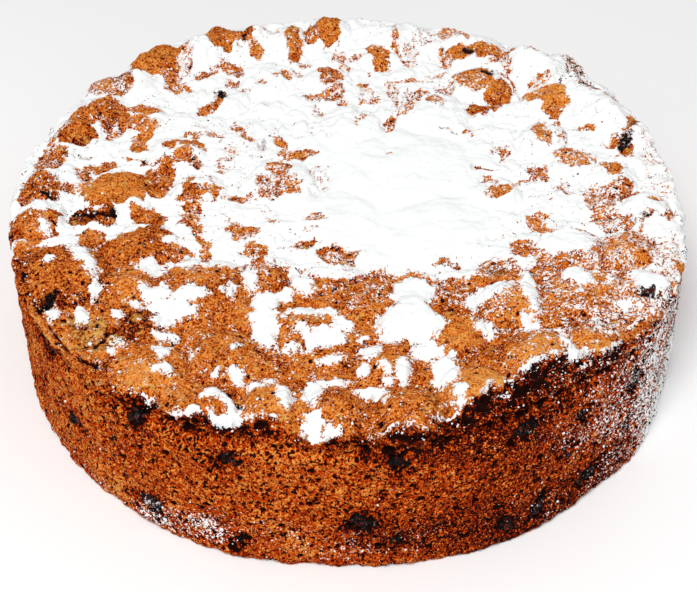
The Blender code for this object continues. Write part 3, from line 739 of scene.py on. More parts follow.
def crust_form():
    """Points of the smooth crust and the way out of it at each, and how far each has rolled over."""
    share, turn = disc_grid(CRUST_STEPS)
    radius, bulge = rim_radius(turn)
    rim = radius + bulge
    angle = np.degrees(turn) % 360
    bend = np.clip((share - FLAT_SHARE) / (1 - FLAT_SHARE), 0, 1) * np.pi / 2
    tight = np.minimum(swell(angle, TIGHT_CORNER), 1)
    width, drop = ROLL_WIDTH - TIGHT_WIDTH * tight, ROLL_DROP - TIGHT_DROP * tight
    away = np.minimum(share / FLAT_SHARE, 1) * (rim - width) + width * np.sin(bend) ** BOXY
    x, y = away * np.cos(turn), away * np.sin(turn)
    lift = swell(angle, BACK_LIFT) * eased((away - LIFT_START) / LIFT_WIDTH)
    rise = lump_rise(x, y)
    crest = swell(angle, RIM_CREST) * bell((away - CREST_RADIUS) / CREST_WIDTH)
    lift += (rise**LUMP_SHARPNESS + crest**LUMP_SHARPNESS) ** (1 / LUMP_SHARPNESS) - rise
    height = crust_height(x, y) + lift - drop * (1 - np.maximum(np.cos(bend), 0) ** BOXY)
    outward = np.stack([np.sin(bend) * np.cos(turn), np.sin(bend) * np.sin(turn), np.cos(bend)], 1)
    return np.stack([x, y, height], 1), outward, bend / (np.pi / 2)


def wall_form(rim_points):
    """Points of the smooth wall, from under the rim to the foot, row by row, and their way out and depth."""
    turn = 2 * np.pi * np.arange(COLUMNS) / COLUMNS
    angle = np.degrees(turn)
    top = rim_points[:, 2]
    bulge = rim_radius(turn)[1]
    points, outward, below = [], [], []
    for row in range(1, WALL_ROWS + FOOT_ROWS + 1):
        share = min(row / WALL_ROWS, 1)
        bend = max(row - WALL_ROWS, 0) / FOOT_ROWS * math.pi / 2
        height = top + share * (FOOT_ROUND - top)
        radius = wall_radius(angle, height) + bulge * bell((top - height) / RIM_BULGE_REACH)
        radius = radius - FOOT_ROUND * (1 - math.cos(bend))
        height = height - FOOT_ROUND * math.sin(bend)
        points.append(np.stack([radius * np.cos(turn), radius * np.sin(turn), height], 1))
        down = np.full(COLUMNS, -math.sin(bend))
        outward.append(np.stack([math.cos(bend) * np.cos(turn), math.cos(bend) * np.sin(turn), down], 1))
        below.append(top - height)
    return np.concatenate(points), np.concatenate(outward), np.concatenate(below)


def point_normals(points, faces):
    """Way out of the surface at each point, from the faces round it."""
    one, two, three, four = (points[faces[:, k]] for k in range(4))
    ways = np.cross(three - one, four - two)
    total = np.stack(
        [np.bincount(faces.ravel(), np.repeat(ways[:, axis], 4), len(points)) for axis in range(3)], 1
    )
    return total / np.linalg.norm(total, axis=1)[:, None]


class Skin:
    """The finished outside of the cake, one entry for each point: crust first, then the wall's rows."""

    def __init__(self, sizes):
        self.sizes = sizes
        crust, up, rolled = crust_form()
        self.rim = border_numbers(CRUST_STEPS)
        wall, out, below = wall_form(crust[self.rim])
        on_crust = np.zeros(len(crust))
        self.smooth = np.concatenate([crust, wall])
        self.outward = np.concatenate([up, out])
        self.rolled = np.concatenate([rolled, np.ones(len(wall))])
        self.below = np.concatenate([on_crust, below])
        self.row = np.concatenate([on_crust, np.repeat(np.arange(1, WALL_ROWS + FOOT_ROWS + 1), COLUMNS)])
        self.angle = np.degrees(np.arctan2(self.smooth[:, 1], self.smooth[:, 0])) % 360
        self.part_crust_from_wall()
        self.lay_sugar()
        self.shape()
        self.bake()

    def part_crust_from_wall(self):
        """Side is 0 on the crust and 1 on the crumb of the wall, with a ragged line between.

        In front the crust has come away from the rim by the inset. Its torn edge bares a ledge of crumb.
        """
        smooth = self.smooth
        past = self.rolled + self.below / BELOW_AS_ROLL + layered(smooth, SIDE_LINE) * (self.rolled > 0)
        side = eased((past - CRUST_ENDS - swell(self.angle, CRUST_GOES_ON)) / SIDE_LINE_WIDTH)
        self.inset = swell(self.angle, CRUST_INSET)
        from_rim = sum(rim_radius(np.radians(self.angle))) - np.hypot(smooth[:, 0], smooth[:, 1])
        self.from_edge = from_rim - self.inset + layered(smooth, TORN_LINE)
        on_top = (self.below == 0) * eased(self.inset - 0.5)
        self.ledge = eased(0.5 - self.from_edge / TORN_EDGE) * on_top
        self.side = np.maximum(side, self.ledge)
        self.crust_share = 1 - self.side

    def lay_sugar(self):
        smooth, below = self.smooth, self.below
        crust, clump = crust_sugar(smooth)
        # The roll of the rim carries less sugar, and below it and on the ledge the sugar runs out.
        crust -= 1.1 * self.rolled**2 * eased((-10 - smooth[:, 1]) / 40)
        ragged = 1 + 0.8 * layered(smooth, BACK_ROLL)
        crust -= below * 1.5 + ragged * self.rolled**2 * eased((smooth[:, 1] + 10) / 40)
        crust -= 1.5 * self.ledge
        more = np.maximum(crust, wall_sugar(smooth, self.angle))
        level = np.where(below > 0, more, crust + self.side * (more - crust))
        self.clump = np.where(below > 0, -9, clump)
        # A line of sugar lies on the roll, or along the torn edge of the crust.
        width = 0.2 + 0.06 * soft_noise(smooth, 4, 65)
        at_edge = (self.rolled - 0.55 - 0.10 * soft_noise(smooth, 6, 64)) / width
        at_edge = np.where(self.inset > 1, (self.from_edge - 0.7) / 1.15, at_edge)
        line = swell(self.angle, SUGAR_LINE) * bell(at_edge) * bell(below / 1.2)
        self.level = level + SUGAR_LINE_LEVEL * line * eased(0.75 + 0.5 * soft_noise(smooth, 5, 66))
        self.sugar = self.level + speckle(smooth) * (1 - 0.6 * self.side)
        # How much of the finest sugar lies on the crust, which is most at the back and at the right.
        self.marks = wandering(smooth, *MARK_SHIFT)
        x, y = self.marks
        dusted = eased((y - 25) / 45) * (0.6 + 0.4 * eased((x + 10) / 50))
        dusted += 0.3 * soft_noise(smooth, 10, 79) * (y > 0)
        self.dusted = np.clip(dusted, 0, 1) * self.crust_share

    def shape(self):
        """Works out the relief of the skin and its pits, which are painted dark as shade, and moves the
        points by it and by the sugar.
        """
        self.cover = eased(self.sugar / 1.6 + 0.2)
        self.thick = eased((self.level - 2) / 1.5)
        self.relief, self.pit = np.zeros((2, len(self.smooth)))
        self.grow_crust()
        self.open_crumb()
        self.chip_rim()
        self.tear_under_rim()
        self.lift_lip()
        self.mark_crust()
        opened, self.halo = date_cover(self.smooth, self.angle)
        self.relief -= DATE_OPENING_DEPTH * opened
        # The openings round the dates are painted dark as shade, and the stained crumb round them a little
        # darker.
        self.pit = np.clip(self.pit + (0.6 * opened + 0.12 * self.side * self.halo), 0, 1.3)

        fade = 1 - eased((self.below - self.below.max() + 3) / 3) * 0.7
        rise = self.relief * fade + self.sugar_depth(opened) * (1 - 0.6 * self.side)
        points = self.smooth + self.outward * rise[:, None]
        points[:, 2] = np.maximum(points[:, 2], 0)
        points[-COLUMNS:, 2] = 0
        self.points = points
        self.normals = point_normals(points, self.all_faces())

    def grow_crust(self):
        """The crust's lumps have smaller bumps on them, small pores, and valleys between them; the pores and
        valleys are painted dark as shade.
        """
        smooth, crust = self.smooth, self.crust_share
        grain = self.sizes.crust_grain / MM * layered(smooth, CRUST_GRAIN)
        self.relief += grain * (1 - 0.75 * self.thick) * crust
        small = pores(smooth, *CRUST_PORES) * (1 - 0.7 * self.dusted)
        self.relief -= small * crust * (1 - self.cover)
        # Painted shade in the pores.
        self.pit += eased(1.7 * small) * crust
        self.edges = lump_edges(*self.marks) * crust * eased(0.55 + 0.5 * soft_noise(smooth, 9, 66))
        self.relief -= VALLEY_DEPTH * self.edges * (1 - 0.7 * self.thick)
        # Painted shade in the valleys.
        self.pit += 0.12 * self.edges

    def open_crumb(self):
        """The wall is rough crumb, open with wide and fine pores."""
        wide, fine = pores(self.smooth, *WIDE_PORES), pores(self.smooth, *FINE_PORES)
        deep = self.sizes.pore_depth / MM
        grain = self.sizes.wall_grain / MM * layered(self.smooth, WALL_GRAIN)
        self.relief += self.side * (grain - deep * wide - 0.5 * deep * fine)
        # The pores are painted dark as shade.
        self.pit += self.side * (0.9 * eased(1.5 * wide) + 0.6 * eased(1.4 * fine))

    def chip_rim(self):
        """The rim is uneven and chipped, most of all in front."""
        at_rim = bell((self.rolled + self.below / 6 - 0.8) / 0.35) * (self.rolled > 0)
        at_rim *= 0.4 + 0.6 * np.minimum(swell(self.angle, TIGHT_CORNER), 1)
        chips = pores(self.smooth, *RIM_CHIPS)
        self.relief += at_rim * (layered(self.smooth, RIM_GRAIN) - 1.7 * chips)
        # The chips are painted dark as shade.
        self.pit += 0.5 * at_rim * chips

    def tear_under_rim(self):
        """Under the rim the wall is drawn in, torn and gaping, and the bared ledge has caves; the torn
        pores, the caves and the gaps are painted dark as shade.
        """
        smooth, side, angle, below = self.smooth, self.side, self.angle, self.below
        groove = (0.35 + swell(angle, RIM_GROOVES)) * (1 + 0.35 * soft_noise(smooth, 5, 51))
        self.relief -= groove * bell((below - GROOVE_BELOW) / GROOVE_HEIGHT) * (below > 0)

        under = (below - TORN_BELOW - swell(angle, TORN_DROP)) / TORN_HEIGHT
        torn = swell(angle, TORN_RIM) * bell(under) * side
        torn *= eased(0.55 + 0.6 * soft_noise(smooth, 6, 52))
        torn_pores = pores(smooth, *TORN_PORES)
        self.relief += torn * (0.8 * soft_noise(smooth, 3.4, 53) - TORN_DEPTH - TORN_PORE_DEPTH * torn_pores)
        # Painted shade in the torn pores.
        self.pit += 0.8 * torn * eased(1.5 * torn_pores)

        # Torn marks the crumb that the tone darkens, partly as painted shade under the rim.
        self.torn = np.maximum(torn, 0.7 * self.ledge * eased(0.4 + 0.6 * soft_noise(smooth, 3.4, 87)))
        self.relief -= self.ledge * (LEDGE_DEPTH + 0.8 * soft_noise(smooth, 4, 88))
        caves = bell((self.from_edge + CAVES_IN) / CAVES_WIDTH) * self.ledge
        caves *= eased(0.2 + layered(smooth, CAVE_SHAPE))
        self.relief -= CAVES_DEPTH * caves
        # Painted shade in the caves.
        self.pit += 1.2 * caves

        gaps = np.minimum(0.15 + swell(angle, RIM_GAPS), 1.2) * bell((below - GAP_BELOW) / GAP_HEIGHT) * side
        gaps *= eased(layered(smooth * (1, 1, 2), GAP_SHAPE) + 0.2)
        self.relief -= GAP_DEPTH * gaps
        # Painted shade in the gaps.
        self.pit += 1.2 * gaps

    def lift_lip(self):
        """At the left the crust ends in a thin lip with a gap behind it."""
        lip = swell(self.angle, LIP) * (self.below == 0)
        gap = lip * bell((self.rolled - LIP_GAP_AT + 0.03 * soft_noise(self.smooth, 6, 58)) / LIP_GAP_WIDTH)
        self.lip = lip * bell((self.rolled - LIP_AT) / LIP_WIDTH)
        self.relief += self.lip - LIP_GAP_DEPTH * gap
        # The gap behind the lip is painted dark as shade.
        self.pit += 0.75 * gap * eased(0.7 + 0.5 * soft_noise(self.smooth, 4, 59))

    def mark_crust(self):
        """Dents, creases, crumbly ground and stains of the crust."""
        (x, y), crust = self.marks, self.crust_share
        for patch in HOLLOWS:
            dent = np.clip(1 - reach(x, y, patch) ** 2, 0, None) * crust
            narrow_hole = patch[5] > 1.1 and patch[3] < 3
            self.relief -= patch[5] * dent
            # Narrow holes are painted dark as shade.
            self.pit += 0.8 * dent * narrow_hole
        for crease in CREASES:
            half_width, depth = crease[4:]
            dent = bell(from_segment(x, y, crease) / half_width) * crust
            self.relief -= depth * dent * (1 - 0.6 * self.thick)
            # Deep creases are painted dark as shade.
            self.pit += 0.65 * max(depth - 0.5, 0) * dent
        self.crumbly = strongest(x, y, CRUMBLY, CRUMBLY_EDGE) * crust
        self.relief += self.crumbly * layered(self.smooth, CRUMBLY_GRAIN) * (1 - self.cover)
        self.stain = strongest(x, y, STAINS, STAIN_EDGE) * crust

    def sugar_depth(self, opened):
        """Depth of the sugar: a film, drifts with soft folds, and clumps that stand up from a steep edge."""
        film = self.sizes.drift_depth / MM * (0.55 * self.cover + 0.9 * self.thick) * (1 - opened)
        rounded = np.clip(self.sugar / 4.5, 0, 1) * eased((self.clump + 2.5) / 2.5)
        uneven = 1 + 0.18 * soft_noise(self.smooth, 3.2, 63)
        heap = self.sizes.clump_depth / MM * np.sqrt(1 - (1 - rounded) ** 2) * uneven
        return np.maximum(film + self.cover * layered(self.smooth, SUGAR_FOLDS), heap)

    def bake(self):
        """Tone: how light the crust and crumb are, about 0, lighter above; partly their bake and partly
        painted light and shade.
        """
        smooth, side, crust = self.smooth, self.side, self.crust_share
        tone = 0.22 * soft_noise(smooth, 14, 70) * crust + 0.25 * soft_noise(smooth, 20, 71) * side
        # Tops of the lumps are painted lighter and the ground between them darker, as painted light and
        # shade.
        tone += 0.10 * (lump_rise(smooth[:, 0], smooth[:, 1]) - 2.2) * crust
        # The rim is browner. The wall is darker just under the rim, partly as painted shade of the rim, and
        # darker towards the right and near the foot.
        tone -= 0.35 * bell((self.rolled - 0.9) / 0.2) * (self.below == 0)
        tone -= side * 0.35 * np.exp(-self.below / 4)
        tone -= side * swell(self.angle, WALL_DARKER_RIGHT)
        for patch in WALL_TONES:
            tone += side * patch[5] * covered(self.angle, smooth[:, 2], patch, WALL_TONE_EDGE)
        # Torn crumb is darker, partly as painted shade under the rim; the lines where lumps meet are painted
        # darker as shade; the crumb round each date is stained darker; and the lip is paler.
        stained = self.halo * (0.6 + 0.5 * soft_noise(smooth, 4, 73))
        tone -= 1.6 * self.torn + 0.4 * self.edges + side * stained
        tone += 0.8 * self.lip
        x, y = wandering(smooth, *TONE_SHIFT)
        for patch in TONES:
            tone += patch[5] * covered(x, y, patch, TONE_EDGE) * crust
        self.tone = tone

    def all_faces(self):
        rows = self.wall_rows()
        wall = grid_faces(np.concatenate([rows, rows[:, :1]], 1)[::-1])
        return np.concatenate([grid_faces(disc_numbers(CRUST_STEPS)), wall])

    def crust_halves(self):
        numbers = disc_numbers(CRUST_STEPS)
        yield "crust_front", grid_faces(numbers[: CRUST_STEPS + 1])
        yield "crust_back", grid_faces(numbers[CRUST_STEPS:])

    def wall_rows(self):
        """Point numbers of the wall, one row for each height, from the rim down."""
        first = (2 * CRUST_STEPS + 1) ** 2
        lower = first + np.arange((WALL_ROWS + FOOT_ROWS) * COLUMNS).reshape(-1, COLUMNS)
        return np.concatenate([self.rim[None, :], lower])

    def wall_quarters(self):
        rows = self.wall_rows()
        quarter = COLUMNS // 4
        for name, first_angle in WALL_QUARTERS.items():
            start = round(first_angle % 360 / 360 * COLUMNS)
            columns = np.arange(start, start + quarter + 1) % COLUMNS
            yield name, grid_faces(rows[:, columns][::-1])


# The values that the baked finish reads
SKIN_FIELDS = ("sugar", "side", "tone", "pit", "stain", "crumbly", "dusted")
_made = {}


def skin(context):
    """The skin is worked out once, for all its pieces."""
    if "skin" not in _made:
        _made["skin"] = Skin(context.scene.date_cake_sizes)
    return _made["skin"]


# ---------------------------------------------------------------- meshes


def open_border(faces):
    """Start and end points of the edges that only one face has."""
    count = faces.max() + 1
    start, end = faces.ravel(), np.roll(faces, -1, axis=1).ravel()
    lonely = ~np.isin(start * count + end, end * count + start)
    return start[lonely], end[lonely]


def fitted(values):
    low = values.min()
    return (values - low) / (values.max() - low)


def patch_map(flat, faces, edges):
    """The bake's map: the patch fills all but the lowest strip, where the hidden faces lie side by side."""
    strip = 0.04
    flat = np.stack([fitted(flat[:, 0]), 2 * strip + 0.01 + (0.99 - 2 * strip) * fitted(flat[:, 1])], 1)
    left = np.arange(edges)[:, None] / edges
    curtain_up = np.tile([2, 2, 1, 1], (edges, 1)) * strip
    curtain = np.stack([left + np.array([[1, 0, 0, 1]]) / edges, curtain_up], -1)
    cone_up = np.tile([1, 1, 0], (edges, 1)) * strip * 0.95
    cone = np.stack([left + np.array([[1, 0, 0.5]]) / edges, cone_up], -1)
    return np.concatenate([flat[faces].reshape(-1, 2), curtain.reshape(-1, 2), cone.reshape(-1, 2)])


def add_mesh(name, points, faces, finish):
    mesh = bpy.data.meshes.new(name)
    mesh.from_pydata(points, [], faces)
    mesh.materials.append(finish)
    made = bpy.data.objects.new(name, mesh)
    bpy.context.scene.collection.objects.link(made)
    return made


def store(mesh, name, values):
    attribute = mesh.attributes.new(name, "FLOAT", "POINT")
    attribute.data.foreach_set("value", np.asarray(values, np.float32))


def add_patch(name, points, faces, inner, flat, normals, finish, **fields):
    """A closed piece whose outside is a patch of the skin, with the skin's values on its points.

    From its border a curtain hangs inwards, to the border moved by inner, and a cone closes that.
    """
    start, end = open_border(faces)
    edge_numbers, at_edge = np.unique(np.stack([end, start], 1), return_inverse=True)
    at_edge = at_edge.reshape(-1, 2)
    ring = inner(points[edge_numbers])
    first = len(points)
    curtain = np.stack([end, start, first + at_edge[:, 1], first + at_edge[:, 0]], 1)
    tip = np.full(len(start), first + len(ring))
    cone = np.stack([first + at_edge[:, 0], first + at_edge[:, 1], tip], 1)
    hidden = np.concatenate([ring, [ring.mean(0)]])
    every_face = faces.tolist() + curtain.tolist() + cone.tolist()
    made = add_mesh(name, np.concatenate([points, hidden]) * MM, every_face, finish)
    mesh = made.data
    mesh.shade_smooth()
    layer = mesh.uv_layers.new(name="OFBake")
    layer.uv.foreach_set("vector", patch_map(flat, faces, len(start)).astype(np.float32).ravel())
    for field, values in fields.items():
        store(mesh, field, np.append(values, np.zeros(len(hidden))))
    ways = np.concatenate([normals, np.tile([0, 0, 1], (len(hidden), 1))])
    mesh.normals_split_custom_set_from_vertices(ways.tolist())
    mesh.update()
    return made


def under_crust(border):
    return border * (0.94, 0.94, 1) - (0, 0, 14)


def behind_wall(border):
    return border * (0.90, 0.90, 0.80) + (0, 0, 5.2)


def above_base(border):
    return border * (0.97, 0.97, 1) + (0, 0, 6)


def belongs(piece, slot, *nodes):
    """Puts a finished piece on the cake's one body."""
    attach(piece, "root")
    if nodes:
        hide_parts(*nodes)
    return piece


# ---------------------------------------------------------------- finishes


class Value:
    """A socket of a node tree that can be written in sums and products."""

    def __init__(self, nodes, socket):
        self.nodes = nodes
        self.socket = socket

    def maths(self, operation, *others, clamp=False):
        settings = {"operation": operation, "use_clamp": clamp}
        return self.nodes.add("ShaderNodeMath", settings, dict(enumerate((self, *others))))

    def clamped(self):
        return self.maths("ADD", 0.0, clamp=True)

    def power(self, by):
        return self.maths("POWER", by)

    def eased(self, low, high):
        sockets = {0: self, 1: low, 2: high, 3: 0.0, 4: 1.0}
        return self.nodes.add("ShaderNodeMapRange", {"interpolation_type": "SMOOTHSTEP"}, sockets)


def operator_pair(operation):
    def plain(self, other):
        return self.maths(operation, other)

    def reflected(self, other):
        return self.nodes.number(other).maths(operation, self)

    return plain, reflected


for _symbol, _operation in {"add": "ADD", "sub": "SUBTRACT", "mul": "MULTIPLY", "truediv": "DIVIDE"}.items():
    _plain, _reflected = operator_pair(_operation)
    setattr(Value, f"__{_symbol}__", _plain)
    setattr(Value, f"__r{_symbol}__", _reflected)


class Nodes:
    """A node tree that is being built."""

    def __init__(self, tree):
        self.tree = tree

    def add(self, kind, settings=None, sockets=None, out=0):
        """One node: its settings are set first, then its sockets get values or links."""
        made = self.tree.nodes.new(kind)
        for name, value in (settings or {}).items():
            if name == "stops":
                self.set_stops(made.color_ramp, value)
            else:
                setattr(made, name, value)
        for name, value in (sockets or {}).items():
            if isinstance(value, Value):
                self.tree.links.new(value.socket, made.inputs[name])
            else:
                made.inputs[name].default_value = value
        return None if out is None else Value(self, made.outputs[out])

    def set_stops(self, ramp, stops):
        while len(ramp.elements) < len(stops):
            ramp.elements.new(1)
        for element, (place, shade) in zip(ramp.elements, stops):
            element.position = place
            element.color = (*shade, 1)

    def number(self, value):
        return self.add("ShaderNodeMath", {"operation": "ADD"}, {0: value, 1: 0.0})


class Finish(Nodes):
    """A material that is being built, on object coordinates."""

    def __init__(self, name):
        self.material = bpy.data.materials.new(name)
        self.material.use_nodes = True
        super().__init__(self.material.node_tree)
        self.tree.nodes.clear()
        self.place = self.add("ShaderNodeTexCoord", out="Object")

    def field(self, name):
        """A value that the mesh holds for each point."""
        return self.add("ShaderNodeAttribute", {"attribute_name": name}, out="Fac")

    def vector(self, operation, first, second):
        return self.add("ShaderNodeVectorMath", {"operation": operation}, {0: first, 1: second})

    def noise(self, size, detail=2.0, shift=0.0, rough=0.5):
        """Noise about 0 with a spread of about one, and features of this size in mm."""
        place = self.vector("ADD", self.place, (shift, shift * 0.7, shift * 1.3))
        sockets = {"Vector": place, "Scale": 1 / (size * MM), "Detail": detail, "Roughness": rough}
        layers = [rough**i for i in range(int(detail) + 1)]
        spread = 0.14 * math.hypot(*layers) / sum(layers)
        return (self.add("ShaderNodeTexNoise", {}, sockets) - 0.5) / spread

    def cells(self, size, warp=0.35, shift=0.0):
        """Distance from the middle of irregular cells of this size in mm, about 0.5 at their edges."""
        sockets = {"Vector": self.place, "Scale": 1 / (size * 1.4 * MM), "Detail": 1.0}
        moved = self.add("ShaderNodeTexNoise", {}, sockets, out="Color")
        sockets = {0: self.vector("SUBTRACT", moved, (0.5, 0.5, 0.5)), "Scale": warp * 4 * size * MM}
        sway = self.add("ShaderNodeVectorMath", {"operation": "SCALE"}, sockets)
        place = self.vector("ADD", self.vector("ADD", self.place, sway), (shift, shift, shift))
        sockets = {"Vector": place, "Scale": 1 / (size * MM)}
        return self.add("ShaderNodeTexVoronoi", {}, sockets, out="Distance")

    def dots(self, size, share):
        """Round dots, one in each cell of this size in mm whose own chance is below the share."""
        away = self.cells(size, 0.25, 2.2 * size)
        chance = Value(self, away.socket.node.outputs["Color"])
        radius = ((share - chance) * 0.7 + 0.08).maths("MINIMUM", 0.5)
        return (radius - away).eased(0.0, 0.07)

    def powder(self):
        """The level of the sugar, broken up into fine grains."""
        return self.field("sugar") + 0.62 * self.noise(0.75, 1, 11.0) + 0.30 * self.noise(0.45, 0, 13.0)

    def ramp(self, value, *stops):
        return self.add("ShaderNodeValToRGB", {"stops": stops}, {0: value})

    def blend(self, share, first, second):
        """Two colours, mixed by a share from 0 to 1."""
        plain = [x if isinstance(x, Value) else (*x, 1) for x in (first, second)]
        return self.add("ShaderNodeMix", {"data_type": "RGBA"}, {0: share, 6: plain[0], 7: plain[1]}, out=2)

    def surface(self, shade, roughness, height, bump_depth, specular):
        sockets = {"Height": height, "Distance": bump_depth * MM, "Strength": 1.0}
        bump = self.add("ShaderNodeBump", {}, sockets)
        sockets = {"Base Color": shade, "Roughness": roughness, "Normal": bump}
        sockets["Specular IOR Level"] = specular
        made = self.add("ShaderNodeBsdfPrincipled", {}, sockets)
        self.add("ShaderNodeOutputMaterial", {}, {"Surface": made}, out=None)
        return self.material


def baked_finish(colours):
    """Crust, open crumb and the sugar on them."""
    f = Finish("baked crust and crumb")
    side, tone, pit = f.field("side"), f.field("tone"), f.field("pit").clamped()
    blotch, fleck = f.noise(9, 2), f.noise(2.4, 2, 3.1)
    grain, dust = f.noise(0.95, 1, 5.3), f.noise(0.5, 0, 4.4)
    # The depths of the pits, where the darkest painted shade goes.
    core = pit.eased(0.3, 0.75)

    # The crust is mottled, with pinholes, and the pinholes, pits and pores are painted dark as shade.
    bubbles = f.cells(1.9, 0.3)
    pinholes = (f.noise(5.0, 1, 8.0) - f.field("dusted")).eased(0.1, 0.7)
    pinholes = (1 - (bubbles + 0.03 * grain).eased(0.13, 0.18)) * pinholes
    level = 0.57 + 0.30 * tone + 0.05 * blotch + 0.07 * fleck + 0.13 * grain + 0.18 * dust
    level = level - 0.3 * pit - 0.7 * core - 0.9 * pinholes
    crust = f.ramp(
        level,
        (0.0, colours.pore),
        (0.22, colours.crust_dark),
        (0.48, colours.crust_mid),
        (0.71, colours.crust_light),
        (1.0, colours.crust_pale),
    )
    # Broken crust, with its pits painted dark as shade.
    broken = f.ramp(
        0.5 + 0.16 * fleck + 0.16 * grain + 0.08 * dust - 0.9 * pit,
        (0.0, colours.pore),
        (0.25, colours.crust_dark),
        (0.5, colours.broken),
        (1.0, colours.broken_pale),
    )
    crust = f.blend((f.field("crumbly") + 0.35 * f.noise(3.2, 1, 6.6)).eased(0.25, 0.85), crust, broken)

    # The crumb is a web of thin walls round holes, and the holes, pits and pores are painted dark as shade.
    wide_web, web = f.cells(2.2, 0.5, 1.9), f.cells(1.1, 0.5, 0.7)
    wide_holes = (1 - (wide_web + 0.06 * grain).eased(0.24, 0.31)) * f.noise(6.0, 1, 21.0).eased(-0.9, -0.2)
    holes = (1 - (web + 0.06 * grain).eased(0.24, 0.31)) * f.noise(3.0, 1, 9.0).eased(-1.4, -0.5)
    # The tone, partly bake and partly painted shade, kept above its darkest.
    clamped_tone = tone.maths("MAXIMUM", -1.9)
    level = 0.78 + 0.26 * clamped_tone + 0.05 * blotch + 0.08 * fleck
    level = level + (0.12 * grain + 0.17 * dust) * (1.0 - 0.35 * clamped_tone)
    level = level - 0.90 * wide_holes - 0.85 * holes - 0.4 * pit - 0.8 * core
    crumb = f.ramp(
        level,
        (0.08, colours.pore),
        (0.26, colours.crumb_dark),
        (0.50, colours.crumb_mid),
        (0.86, colours.crumb_light),
        (1.0, colours.crumb_pale),
    )
    shade = f.blend(side, crust, crumb)
    shade = f.blend((f.field("stain") * (0.9 + 0.25 * grain)).clamped(), shade, colours.date)

    sugar = f.powder()
    sugar = sugar + side * (0.05 + 0.3 * grain) - 0.5 * pit
    sugar = sugar - side * (1.3 * pit + 1.8 * holes + 2.0 * wide_holes)
    dusted = f.field("dusted")
    dots = f.dots(1.3, 0.70 + 0.38 * f.field("sugar") + 0.42 * dusted - 0.5 * side)
    dots = dots.maths("MAXIMUM", f.dots(0.8, 0.50 + 0.34 * f.field("sugar") + 0.55 * dusted - 0.6 * side))
    cover = sugar.eased(-0.25, 0.30).maths("MAXIMUM", dots * (1 - core))
    thick = (f.field("sugar") + side).eased(-0.2, 1.4)
    white = f.blend(thick, colours.sugar_thin, colours.sugar)
    shade = f.blend(cover, shade, white)
    height = 0.14 * grain + 0.14 * fleck + 0.07 * dust - 0.8 * pinholes
    height = height - side * (wide_holes + 0.7 * holes)
    height = (1 - cover) * height + cover * (0.35 + 0.05 * f.noise(0.5, 1, 17.0))
    return f.surface(shade, 0.72 + 0.18 * cover, height, 0.45, 0.025)


def date_finish(colours):
    """Dried fruit: near black, a little glossy, with a painted highlight on its ridges, and crumb and sugar
    stuck to it.
    """
    f = Finish("date flesh")
    fold, grain, fleck = f.noise(2.2, 2, 2.0), f.noise(0.7, 1, 4.0), f.noise(0.9, 1, 7.0)
    # Painted highlight on the ridges of the folds.
    shade = f.blend((fold + 0.9 * grain).eased(0.9, 2.6), colours.date, colours.date_sheen)
    crumbs = (fleck + 0.5 * fold).eased(0.9, 1.3)
    shade = f.blend(0.9 * crumbs, shade, colours.crumb_dark)
    shade = f.blend(f.dots(0.9, 0.45 + 0.15 * fold), shade, colours.crumb_mid)
    sugar = f.powder()
    cover = sugar.eased(-0.1, 0.5).maths("MAXIMUM", f.dots(1.2, 0.35 + 0.1 * f.field("sugar")))
    shade = f.blend(cover, shade, colours.sugar_thin)
    roughness = 0.45 + 0.25 * crumbs + 0.2 * cover
    return f.surface(shade, roughness, 0.3 * fold + 0.25 * grain + 0.4 * crumbs + 0.3 * cover, 0.6, 0.08)


def sugar_finish(colours):
    f = Finish("icing sugar")
    shade = f.blend(f.noise(1.1, 2).eased(-1, 1), [0.95 * c for c in colours.sugar], colours.sugar)
    return f.surface(shade, 0.88 + 0.01 * f.noise(0.6), 0.1 * f.noise(0.4, 2, 3.0), 0.15, 0.1)


def floor_finish():
    f = Finish("pale floor")
    shade = f.blend(f.noise(400, 1).eased(-1, 1), (0.90, 0.90, 0.90), (0.93, 0.93, 0.93))
    return f.surface(shade, 0.8 + 0.002 * f.noise(60), 0.1 * f.noise(30, 1), 0.02, 0.1)


def finish(name, maker, context):
    """Each material is made once."""
    found = bpy.data.materials.get(name)
    return found or maker(context.scene.date_cake_colours)


# ---------------------------------------------------------------- pieces


def add_skin_piece(context, name, faces, inner, flat):
    """A closed piece with these faces of the skin; flat is each point's place on the bake's map."""
    cake = skin(context)
    numbers, local = np.unique(faces, return_inverse=True)
    fields = {field: getattr(cake, field)[numbers] for field in SKIN_FIELDS}
    baked = finish("baked crust and crumb", baked_finish, context)
    points, normals, faces = cake.points[numbers], cake.normals[numbers], local.reshape(faces.shape)
    made = add_patch(name, points, faces, inner, flat[numbers], normals, baked, **fields)
    belongs(made, "crust", "cake")


class DATECAKE_OT_crust(bpy.types.Operator):
    """Lay the lumpy crust, with its cracks, pores and icing sugar"""

    bl_idname = "date_cake.crust"
    bl_label = "Crust"

    def execute(self, context):
        cake = skin(context)
        for name, faces in cake.crust_halves():
            add_skin_piece(context, name, faces, under_crust, cake.smooth[:, :2])
        return {"FINISHED"}


class DATECAKE_OT_wall(bpy.types.Operator):
    """Raise the porous wall, in four quarters"""

    bl_idname = "date_cake.wall"
    bl_label = "Wall"

    def execute(self, context):
        cake = skin(context)
        for name, faces in cake.wall_quarters():
            middle = WALL_QUARTERS[name] + 45
            along = (cake.angle - middle + 180) % 360 - 180
            add_skin_piece(context, name, faces, behind_wall, np.stack([along, -cake.row], 1))
        return {"FINISHED"}


